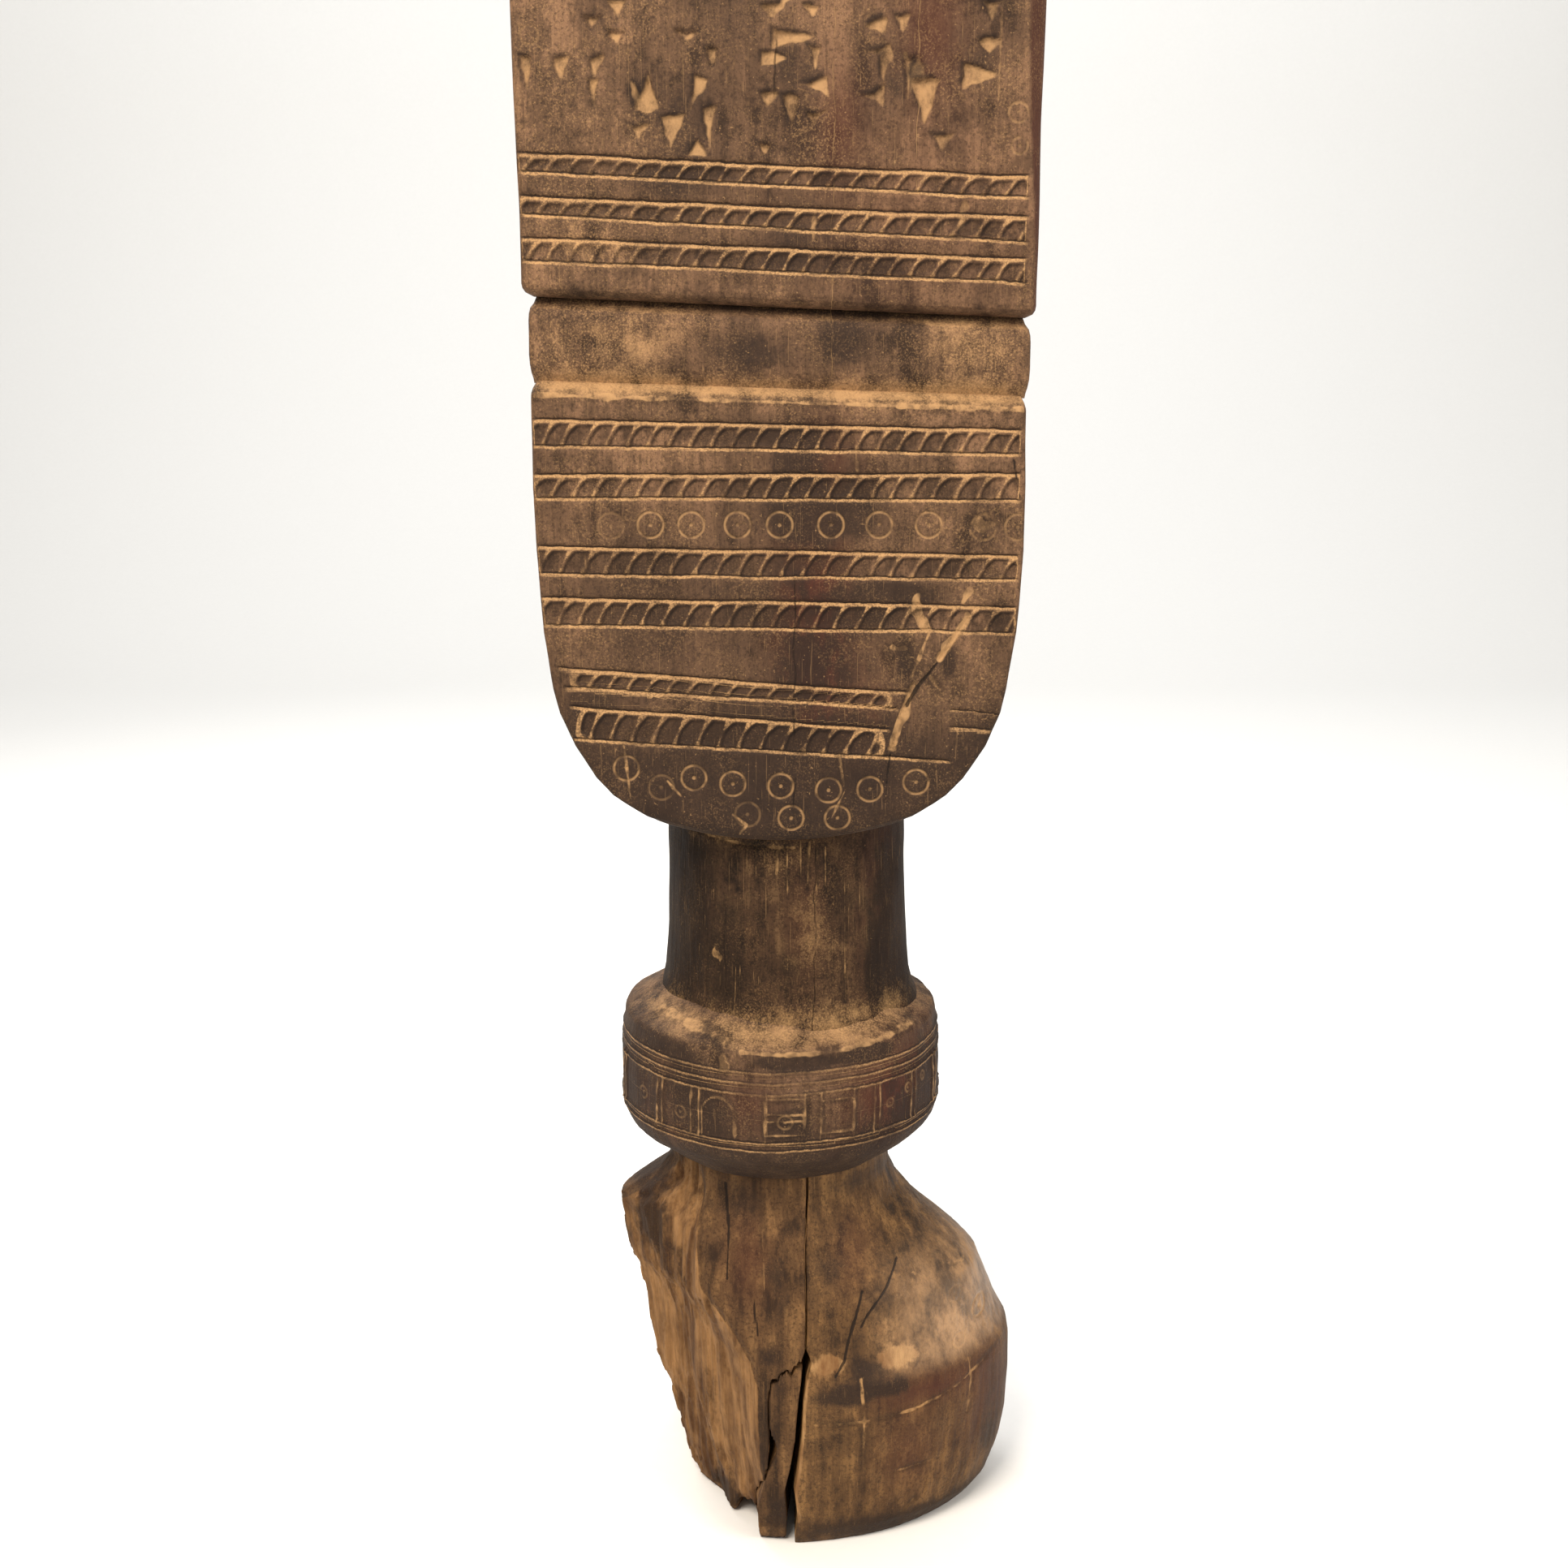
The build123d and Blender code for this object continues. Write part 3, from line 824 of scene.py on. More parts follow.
    def _chipped(self, add: Add, grain: Grain, colour: Wire) -> Wire:
        """Dust on the chips' floors and on the rope's webs; painted shade in the rope's cells and on the
        shaded walls of chips and cells.
        """
        grit, mottle, mark = grain.grit, grain.mottle, grain.mark
        chip = add(PLUS, mark["chip"], add(TIMES, grain.waver, 0.8))
        patchy = add(PLUS, 0.12, add(TIMES, add(STEP, mottle, 0.36, 0.62), 0.62))
        colour = add(BLEND, add(TIMES, add(STEP, chip, 0.0, 0.6), patchy), colour, linear(self.dust))
        rope = add(PLUS, mark["rope"], add(TIMES, grain.waver, 0.6))
        # Painted shade in the rope's cells, weaker where dust has filled them.
        shade_share = add(MINUS, 0.85, add(TIMES, mark["worn"], 0.55))
        shaded = add(PLUS, 0.16, add(TIMES, add(STEP, mottle, 0.60, 0.42), 0.5))
        hollow = add(TIMES, add(TIMES, add(STEP, rope, -0.05, 0.3), shade_share), shaded)
        colour = add(BLEND, hollow, colour, linear(self.dark))
        web = add(TIMES, add(STEP, rope, -1.3, -1.1), add(STEP, rope, 0.0, -0.5))
        web = add(TIMES, web, add(PLUS, 0.22, add(TIMES, add(STEP, mottle, 0.40, 0.58), 0.5)))
        web = add(TIMES, web, add(PLUS, 0.4, add(STEP, grit, 0.36, 0.62)))
        colour = add(BLEND, web, colour, linear(self.dust))
        # Painted shade on the upper-left walls of chips and rope cells.
        lee = add(TIMES, mark["lee"], add(TIMES, shade_share, 0.85))
        return add(BLEND, lee, colour, linear(self.shadow))

    def _ruled(self, add: Add, grain: Grain, colour: Wire) -> tuple[Wire, Wire]:
        """Rulings: painted shade along each cut's upper lip, over a line of packed dust."""
        mark = grain.mark
        side = add(PLUS, add(TIMES, mark["rule"], mark["flip"]), grain.waver)
        present = add(TIMES, mark["rule_on"], add(STEP, add(SIZE, mark["rule"]), 0.95, 0.65))
        fade = add(STEP, add(NOISE, grain.where, lumps(6.5), 2.0, 0.55), 0.28, 0.62)
        packed = add(TIMES, add(STEP, side, 0.10, -0.02), add(STEP, side, -0.62, -0.32))
        packed = add(TIMES, packed, add(PLUS, 0.2, add(TIMES, fade, 0.5)))
        packed = add(TIMES, packed, add(PLUS, 0.55, add(STEP, grain.grit, 0.36, 0.6)))
        # The lip is painted shade: the upper face of the cut, turned away from the light.
        lip = add(TIMES, add(STEP, side, 0.0, 0.10), add(STEP, side, 0.50, 0.26))
        lip = add(TIMES, add(TIMES, lip, 0.8), present)
        colour = add(BLEND, lip, colour, linear(self.shadow))
        return add(BLEND, add(TIMES, packed, present), colour, linear(self.dust)), lip

    def _scored(self, add: Add, grain: Grain, colour: Wire) -> tuple[Wire, Wire]:
        """Rings and scratches: fine scored lines, pale with dust, that come and go."""
        mark, mottle = grain.mark, grain.mottle
        ring = add(SIZE, add(PLUS, mark["ring"], add(TIMES, grain.waver, 0.25)))
        scored = add(TIMES, add(STEP, ring, 0.42, 0.08), mark["ring_on"])
        patches = add(STEP, add(NOISE, grain.where, lumps(2.4), 1.0, 0.55), 0.34, 0.6)
        broken = add(PLUS, 0.12, add(TIMES, patches, 0.42))
        colour = add(BLEND, add(TIMES, scored, broken), colour, linear(self.dust))
        score = add(PLUS, mark["score"], add(TIMES, add(SIZE, grain.waver), 0.6))
        line = add(TIMES, add(STEP, score, 0.26, -0.06), add(PLUS, broken, 0.1))
        line = add(TIMES, line, add(PLUS, add(STEP, mottle, 0.42, 0.54), 0.22))
        beside = add(TIMES, add(STEP, score, 1.3, 0.5), add(STEP, mottle, 0.58, 0.44))
        colour = add(BLEND, add(TIMES, beside, 0.45), colour, linear(self.dark))
        colour = add(BLEND, line, colour, linear(self.dust))
        split = add(STEP, mark["crack"], 0.26, 0.1)
        return add(BLEND, add(TIMES, split, 0.85), colour, linear(self.gap)), scored

    def _cracked(self, add: Add, grain: Grain, colour: Wire) -> tuple[Wire, Wire | float]:
        """Drawn hairline cracks: the coloured result and how deep they are."""
        across, back, up = (add(kind, grain.where) for kind in (ACROSS, BACK, UP_AXIS))
        wander = add(TIMES, add(MINUS, add(NOISE, grain.where, lumps(9.0), 3.0, 0.55), 0.5), 2.2 * MM)
        patches = add(STEP, add(NOISE, grain.where, lumps(5.0), 2.0, 0.55), 0.36, 0.58)
        patches = add(TIMES, patches, add(BELOW, back, 0.0))
        depth: Wire | float = 0.0
        for line in self.hairlines:
            centre = add(PLUS, (line.x + AXIS_X) * MM, add(TIMES, up, line.lean))
            off = add(SIZE, add(MINUS, add(PLUS, across, wander), centre))
            here = add(TIMES, patches, add(STEP, off, line.wide * MM, line.wide * 0.4 * MM))
            here = add(TIMES, here, add(STEP, up, (line.low - 2) * MM, (line.low + 2) * MM))
            here = add(TIMES, here, add(STEP, up, (line.high + 2) * MM, (line.high - 2) * MM))
            share, tint = (0.4, self.dust) if line.pale else (0.6, self.gap)
            colour = add(BLEND, add(TIMES, here, share), colour, linear(tint))
            depth = add(PLUS, depth, add(TIMES, here, 0.7))
        return colour, depth


# ---------------------------------------------------------------- ornament of the two panels

HIGH_LINES = (
    Ruling(290.4, 286.0), Ruling(294.8, 290.6), Ruling(299.4, 293.8),
    Ruling(302.7, 298.7), Ruling(307.4, 302.4), Ruling(310.9, 306.4),
)
LOW_LINES = (
    Ruling(192.9, 186.4, -44.0, 36.0), Ruling(199.8, 192.2, -44.0, 23.0), Ruling(204.0, 197.2, -45.0, 25.0),
    Ruling(207.9, 200.6, -46.5, 27.0), Ruling(216.8, 215.1), Ruling(222.6, 220.4),
    Ruling(227.5, 226.0), Ruling(233.1, 231.1), Ruling(243.1, 242.6),
    Ruling(247.9, 247.9), Ruling(253.8, 251.9), Ruling(259.0, 256.8),
)
RING_COURSE = (-26.7, -18.3, -8.7, 0.0, 10.6, 20.6, 30.8)
TONGUE_RINGS = (
    (-32.6, 186.1), (-18.3, 184.0), (-10.0, 182.7), (0.2, 182.2), (10.4, 181.3),
    (19.2, 181.5), (29.0, 183.1), (2.4, 175.2), (12.3, 175.2),
)
DOWN, UP, RIGHT, LEFT = -90.0, 90.0, 0.0, 180.0


def high_ornament() -> KnifeWork:
    """Knife work of the rest block: three rope bands under a field of scattered chips."""
    chips = [
        Chip(-31.0, 338.2, 4.1, 2.6), Chip(-49.4, 326.6, 2.0, 4.8), Chip(-42.8, 326.9, 1.7, 3.0),
        Chip(-35.9, 327.1, 2.8, 3.4), Chip(-36.3, 322.6, 1.9, 4.5), Chip(-26.6, 321.9, 5.0, 5.6, UP, 1.4),
        Chip(-15.9, 322.6, 2.5, 5.0, -110.0), Chip(-13.5, 316.9, 2.6, 5.5), Chip(-27.5, 314.9, 3.2, 2.4),
        Chip(-20.8, 315.5, 4.5, 5.0), Chip(-16.9, 311.9, 3.6, 3.0, UP),
        Chip(-17.5, 332.3, 4.0, 2.8, worn=0.5),
        Chip(-12.9, 328.7, 1.5, 3.4, worn=0.3), Chip(-36.2, 335.3, 2.7, 2.0, worn=0.3),
        Chip(-31.6, 332.3, 2.2, 2.0, worn=0.4), Chip(-1.9, 321.0, 2.5, 2.2),
        Chip(2.2, 333.2, 6.8, 3.4, RIGHT, 1.3), Chip(-1.3, 329.2, 4.5, 2.7, RIGHT),
        Chip(6.8, 337.6, 2.2, 1.4), Chip(-0.8, 337.2, 3.5, 2.0), Chip(7.3, 329.5, 1.4, 2.2),
        Chip(7.3, 323.3, 3.5, 2.5, LEFT), Chip(2.9, 318.6, 2.9, 5.9), Chip(7.3, 317.0, 2.7, 2.7),
        Chip(20.0, 329.4, 3.3, 3.0, LEFT), Chip(20.7, 325.6, 1.4, 7.5), Chip(18.6, 321.2, 3.8, 3.5, LEFT),
        Chip(19.1, 334.2, 3.6, 3.3, LEFT), Chip(24.4, 335.4, 2.0, 2.0),
        Chip(25.6, 324.0, 1.6, 9.0, worn=0.35),
        Chip(29.4, 320.9, 4.8, 7.3, DOWN, 1.3), Chip(26.9, 326.6, 2.4, 3.2, UP), Chip(32.6, 312.8, 2.9, 2.7),
        Chip(42.0, 337.8, 3.0, 2.4), Chip(41.6, 330.7, 3.3, 2.5), Chip(39.1, 326.4, 5.9, 4.8, RIGHT, 1.1),
        Chip(-2.5, 311.6, 1.6, 1.6, worn=0.2),
    ]
    # The upper third of the field carries the same sort of chips, in loose upright files.
    scatter = np.random.default_rng(41)
    for column in (-44.0, -34.0, -26.5, -17.0, -7.0, 1.5, 9.5, 20.0, 28.0, 38.5):
        for height in (342.5, 348.5, 354.0):
            slip, drop, wide, high, worn = scatter.uniform(-1, 1, 5)
            chips.append(Chip(column + 1.6 * slip, height + 1.4 * drop, 2.7 + 1.1 * wide, 3.3 + 1.4 * high,
                              (DOWN, UP, RIGHT, DOWN)[int(scatter.integers(4))], 0.8, 0.2 + 0.2 * worn))
    lines = HIGH_LINES
    return KnifeWork(
        rulings=lines,
        bands=(
            RopeBand(lines[0], lines[1], 4.3, 0.6, 0.85),
            RopeBand(lines[2], lines[3], 4.6, 2.1, 0.6),
            RopeBand(lines[4], lines[5], 4.35, 1.2, 0.9),
        ),
        chips=chips,
        rings=(Ring(47.2, 318.7, 1.9, 0.6), Ring(47.6, 312.4, 1.6, 0.5), Ring(-49.0, 333.0, 1.8, 0.3)),
        gouges=(
            Gouge(((43.2, 321.0), (43.4, 340.0), (43.0, 360.0)), 0.5, 0.3),
            Gouge(((36.2, 296.8), (36.9, 301.4)), 1.3), Gouge(((6.8, 294.2), (6.9, 299.2)), 0.7),
            Gouge(((-29.6, 325.4), (-27.4, 319.6)), 1.1, 0.9), Gouge(((24.6, 329.2), (26.6, 325.6)),
            1.0, 0.8),
        ),
        # Soot, and painted shade: the patches round the chip clusters at z 319 to 330 and the two small dark
        # spots in the deepest chip and gouge.
        soot=(
            Stain(-9.0, 342.0, 10.0, 16.0, 0.35), Stain(36.0, 290.0, 14.0, 10.0, 0.2),
            Stain(-19.0, 319.0, 11.0, 9.0, 0.42), Stain(3.0, 326.0, 7.0, 10.0, 0.42),
            Stain(22.0, 326.0, 6.0, 9.0, 0.35), Stain(39.0, 330.0, 6.0, 8.0, 0.42),
            Stain(-24.0, 306.0, 14.0, 4.0, 0.42), Stain(0.0, 290.0, 8.0, 4.0, 0.35),
            Stain(-22.0, 300.0, 8.0, 12.0, 0.3), Stain(4.0, 296.0, 12.0, 9.0, 0.35),
            Stain(26.9, 326.6, 1.6, 2.0, 1.0), Stain(-28.8, 322.8, 1.2, 2.2, 0.9),
        ),
        rust=(Stain(30.0, 334.0, 6.0, 12.0, 0.7), Stain(12.0, 317.0, 4.0, 10.0, 0.6),
              Stain(20.0, 350.0, 12.0, 9.0, 0.4), Stain(26.0, 300.0, 26.0, 30.0, 0.2)),
        dust=(Stain(-40.0, 312.0, 12.0, 22.0, 0.3), Stain(-34.0, 293.0, 16.0, 5.0, 0.4)),
        seed=5,
    )


def low_ornament() -> KnifeWork:
    """Knife work of the tongue: rope bands in pairs, two courses of rings, and an old scar."""
    lines = LOW_LINES
    rings = [Ring(x, 237.6) for x in RING_COURSE]
    rings += [Ring(x, z) for x, z in TONGUE_RINGS]
    rings += [Ring(-34.9, 237.4, weight=0.35), Ring(49.2, 237.1, weight=0.6), Ring(42.1, 237.1, weight=0.4),
              Ring(-25.2, 181.9, weight=0.35), Ring(-6.9, 176.0, weight=0.35)]
    bands = tuple(
        RopeBand(lines[low], lines[low + 1], pitch, shift, crisp)
        for low, pitch, shift, crisp in (
            (0, 4.5, 0.4, 0.9), (2, 4.2, 1.7, 0.55), (4, 4.5, 2.6, 0.9),
            (6, 4.6, 0.2, 0.95), (8, 4.4, 1.1, 0.85), (10, 4.3, 3.0, 0.9),
        )
    )
    return KnifeWork(
        rulings=lines + (Ruling(206.6, 197.0, 36.0, 47.0, 0.8), Ruling(202.6, 193.4, 36.0, 46.0, 0.7)),
        bands=bands,
        rings=rings,
        gouges=(
            Gouge(((39.4, 218.2), (33.6, 209.6)), 1.5, 0.8), Gouge(((28.4, 204.4), (25.8, 198.0),
            (23.8, 190.6)), 1.5, 0.8),
        ),
        cracks=(
            Gouge(((33.0, 208.6), (29.0, 203.6), (26.8, 199.6)), 0.4, 0.5),
            Gouge(((23.6, 190.0), (22.8, 184.0), (22.6, 178.6)), 0.2, 0.3),
            Gouge(((48.0, 251.0), (49.6, 243.0)), 0.2, 0.3),
        ),
        scores=(
            Gouge(((39.4, 218.6), (36.8, 214.6), (35.4, 213.0), (33.6, 209.4)), 1.7, 0.1, 0.0),
            Gouge(((28.0, 203.4), (26.6, 199.0), (25.4, 196.0), (24.0, 191.0)), 1.4, 0.1, 0.0),
            Gouge(((28.4, 222.2), (29.0, 219.4), (30.6, 216.0)), 2.2, 0.2, 0.2),
            Gouge(((23.4, 212.0), (26.4, 211.6)), 1.4, 0.2, 0.35), Gouge(((30.8, 207.4), (33.6, 203.0)),
            1.4, 0.1, 0.35),
            Gouge(((31.6, 216.0), (27.6, 205.6)), 0.5, 0.1, 0.1), Gouge(((38.2, 221.4), (39.8, 224.0)),
            1.2, 0.1, 0.1),
            Gouge(((-33.0, 191.0), (-31.8, 179.0)), 0.4, 0.1, 0.1), Gouge(((-40.4, 231.0),
            (-40.0, 226.5)), 0.5, 0.2, 0.1),
            Gouge(((41.0, 238.4), (42.0, 237.0), (43.6, 237.8)), 3.6, 0.2, 0.7),
            Gouge(((-10.0, 176.0), (-7.0, 173.6), (-8.6, 171.4)), 0.6, 0.1, 0.1),
            Gouge(((12.6, 189.0), (13.8, 181.0), (11.0, 175.0)), 0.4, 0.1, 0.15),
            Gouge(((-24.0, 183.4), (-21.0, 180.0)), 0.5, 0.1, 0.1), Gouge(((15.5, 254.0), (16.0, 248.6)),
            0.4, 0.1, 0.1),
            Gouge(((-52.0, 264.1), (-20.0, 263.1)), 0.7, 0.0, -0.05), Gouge(((-20.0, 263.1),
            (24.0, 261.8)), 0.5, 0.0, 0.1),
            Gouge(((24.0, 261.8), (52.0, 261.0)), 0.7, 0.0, -0.05),
        ),
        # Soot, and painted shade where the tongue's end turns under: the broad patches from z 170 to 190.
        soot=(
            Stain(26.0, 223.2, 9.0, 3.4, 0.85), Stain(0.0, 170.0, 38.0, 15.0, 1.9),
            Stain(0.0, 190.0, 38.0, 20.0, 0.62), Stain(2.0, 245.0, 16.0, 14.0, 0.44),
            Stain(-28.0, 226.0, 20.0, 18.0, 0.52), Stain(-42.0, 196.0, 7.0, 10.0, 0.5),
            Stain(46.0, 194.0, 7.0, 9.0, 0.5),
            Stain(34.0, 176.0, 14.0, 9.0, 0.6), Stain(-34.0, 178.0, 12.0, 7.0, 0.6),
            Stain(12.0, 240.0, 14.0, 5.0, 0.45), Stain(-4.0, 221.0, 7.0, 8.0, 0.3),
            Stain(8.0, 222.0, 9.0, 13.0, 0.4), Stain(20.0, 219.0, 6.0, 5.0, 0.45),
            Stain(5.0, 248.0, 5.0, 12.0, 0.4),
            Stain(6.0, 208.0, 7.0, 8.0, 0.45), Stain(26.6, 209.6, 2.2, 5.0, 0.8),
            Stain(35.4, 209.0, 2.0, 4.0, 0.8),
            Stain(10.0, 190.0, 16.0, 5.0, 0.4), Stain(16.0, 243.0, 3.0, 8.0, 0.4),
            Stain(-2.0, 256.0, 12.0, 3.0, 0.4),
        ),
        rust=(Stain(7.0, 216.0, 7.0, 20.0, 1.5), Stain(16.0, 196.0, 7.0, 12.0, 0.6),
              Stain(10.0, 250.0, 7.0, 9.0, 0.5)),
        dust=(Stain(-40.0, 265.4, 20.0, 2.0, 0.75), Stain(-8.0, 264.4, 20.0, 2.0, 0.7),
              Stain(20.0, 263.6, 18.0, 2.0, 0.7), Stain(43.0, 262.6, 14.0, 2.0, 0.75),
              Stain(-38.0, 240.0, 12.0, 12.0, 0.25), Stain(-38.0, 218.0, 12.0, 9.0, 0.2),
              Stain(40.0, 204.0, 9.0, 10.0, 0.28), Stain(44.0, 240.0, 8.0, 10.0, 0.25)),
        pale=(Stain(30.4, 219.0, 2.6, 4.0, 0.3), Stain(32.0, 205.0, 3.0, 5.0, 0.25)),
        seed=9,
    )


# ---------------------------------------------------------------- the pieces

@dataclass
class RestBlock:
    """Upper panel: chip field, rope bands, bevel to the waist, dished rest on top."""

    slot: str = "patinated_wood"
    groove_bevel: tuple[tuple[float, float], ...] = ((3.2, 1.0), (0.9, 0.8), (0.3, 0.9))

    def build(self, material: bpy.types.Material) -> bpy.types.Object:
        """Make the panel whose lower edge follows the waist and whose top is hollow."""
        radius = (HALF_WIDTH ** 2 + DISH_SAG ** 2) / (2 * DISH_SAG)
        return Panel(
            name="rest_block",
            slot=self.slot,
            half_width=lambda z: HALF_WIDTH + 0.3 + 0.8 * ramp(z, 287.0, 345.0),
            side_share=0.55,
            half_depth=HALF_DEPTH,
            low=lambda x: BAND_HIGH_LEFT - BAND_HIGH_FALL * (x + HALF_WIDTH) / (2 * HALF_WIDTH),
            high=lambda x: REST_TOP - DISH_SAG + radius - np.sqrt(radius ** 2 - x ** 2),
            work=high_ornament(),
            bevel_low=self.groove_bevel,
            bevel_high=((0.5, 0.8), (0.8, 0.5)),
            bevel_side=lambda z: 51.0 - 2.1 * ramp(z, 287.0, 335.0),
            seed=11,
        ).build(material)


@dataclass
class WaistBand:
    """Plain cushion between the panels, a little inside their face."""

    slot: str = "patinated_wood"
    sink: float = 1.2           # reaches this far into each panel, so that no gap shows

    def build(self, material: bpy.types.Material) -> bpy.types.Object:
        """Make the band with its soft long edges."""
        work = KnifeWork(
            # Soot, and a painted shadow under the rest block's overhang: the three long thin patches along
            # the band's top, z 280 to 284.
            soot=(Stain(-8.0, 273.0, 8.0, 6.0, 0.62), Stain(13.0, 275.0, 7.0, 5.0, 0.62),
                  Stain(2.0, 272.0, 20.0, 5.0, 0.2), Stain(-36.0, 284.4, 26.0, 2.0, 0.8),
                  Stain(0.0, 282.4, 26.0, 2.0, 0.8), Stain(34.0, 280.6, 26.0, 2.0, 0.8)),
            dust=(Stain(-38.0, 266.4, 18.0, 2.2, 0.7), Stain(-8.0, 265.6, 18.0, 2.2, 0.7),
                  Stain(18.0, 264.8, 18.0, 2.2, 0.75), Stain(42.0, 264.2, 14.0, 2.2, 0.8),
                  Stain(-34.0, 274.0, 16.0, 9.0, 0.75), Stain(38.0, 272.0, 15.0, 9.0, 0.6)),
            seed=13,
        )
        low, high = BAND_LOW_RIGHT + BAND_LOW_FALL - self.sink, BAND_HIGH_LEFT + self.sink
        return Panel(
            name="waist_band",
            slot=self.slot,
            half_width=lambda z: np.full_like(z, BAND_HALF_WIDTH + 0.6),
            side_share=0.4,
            half_depth=BAND_HALF_DEPTH - 0.2,
            low=lambda x: low - BAND_LOW_FALL * (x + HALF_WIDTH) / (2 * HALF_WIDTH),
            high=lambda x: high - BAND_HIGH_FALL * (x + HALF_WIDTH) / (2 * HALF_WIDTH),
            work=work,
            bevel_low=((0.4, 1.2), (0.7, 1.2), (0.6, 1.6), (0.3, 2.0)),
            bevel_high=((0.2, 1.4), (0.6, 1.2), (1.5, 1.0), (1.7, 2.2)),
            step=0.6,
            cap_rows=10,
            seed=12,
        ).build(material)


@dataclass
class TonguePanel:
    """Lower panel, drawn in to a round tongue that overhangs the neck."""

    slot: str = "patinated_wood"
    # Height, then half width of the outline: straight sides, then the round end.
    outline: tuple[tuple[float, float], ...] = (
        (264.0, 50.8), (245.4, 51.0), (232.1, 50.8), (221.9, 50.2), (215.1, 49.7), (203.1, 48.0),
        (197.9, 46.9), (190.8, 43.9), (183.8, 39.4), (180.0, 35.8), (176.7, 31.0), (173.1, 26.6),
        (170.0, 24.0),
    )

    def build(self, material: bpy.types.Material) -> bpy.types.Object:
        """Make the tongue: its outline draws the loops in as they go down."""
        low, high = NECK_TOP, BAND_LOW_RIGHT + BAND_LOW_FALL
        return Panel(
            name="tongue_panel",
            slot=self.slot,
            half_width=lambda z: along(z, self.outline),
            half_depth=HALF_DEPTH,
            low=lambda x: low - 1.6 + 4.4 * (np.minimum(np.abs(x), 27.0) / 27.0) ** 2,
            high=lambda x: high - BAND_LOW_FALL * (x + HALF_WIDTH) / (2 * HALF_WIDTH),
            work=low_ornament(),
            bevel_low=((1.4, 0.5), (1.2, 0.9), (0.7, 1.4), (0.3, 1.8)),
            bevel_high=((0.15, 0.5), (0.7, 1.0), (1.5, 1.3), (2.4, 0.5)),
            side_share=0.35,
            back_step=2.3,
            radius=1.5,
            seed=14,
        ).build(material)


@dataclass
class Turned:
    """A round zone cut from a profile of radius and height, then hewn out of true."""

    name: str
    slot: str
    centre: float
    profile: tuple[tuple[float, float], ...]
    columns: int = 420
    row_step: float = 0.45
    cap_step: float = 2.0
    seed: int = 21
    facet: float = 0.5

    def marks(self, angle: np.ndarray, z: np.ndarray) -> dict[str, np.ndarray]:
        """Knife work by angle from the front and height; plain unless a piece overrides it."""
        return KnifeWork(seed=self.seed).measure(angle, z)

    def build(self, material: bpy.types.Material) -> bpy.types.Object:
        """Wrap rings of the profile, close them at a pole at each end, and carve."""
        corners = np.array(self.profile)
        reach = np.concatenate([[0], np.cumsum(np.hypot(*np.diff(corners, axis=0).T))])
        wall = spaced(reach[1], reach[-2], self.row_step)
        stations = np.concatenate([
            spaced(0, reach[1], self.cap_step)[:-1], wall, spaced(reach[-2], reach[-1], self.cap_step)[1:],
        ])
        radius = np.interp(stations, reach, corners[:, 0])
        height = np.interp(stations, reach, corners[:, 1])
        angle = np.linspace(-math.pi, math.pi, self.columns + 1)[:-1]
        turn, high = np.meshgrid(angle, height)
        wide = np.repeat(radius[:, None], self.columns, axis=1)
        points = np.stack([self.centre + wide * np.sin(turn), -wide * np.cos(turn), high], -1)
        marks = self.marks(np.degrees(turn), high)
        cut = marks.pop("depth")
        slope_r = np.gradient(radius)
        slope_z = np.gradient(height)
        size = np.hypot(slope_r, slope_z)
        out, lift_z = (slope_z / size)[:, None], (-slope_r / size)[:, None]
        whole = np.minimum(1.0, wide / 4.0)
        lift = (Weathering(self.seed, self.facet).lift(points) - 0.3 - cut) * whole
        points[..., 0] += out * lift * np.sin(turn)
        points[..., 1] -= out * lift * np.cos(turn)
        points[..., 2] += lift_z * lift
        return Skin(self.name, points, marks).build(material, self.slot, [self.name])


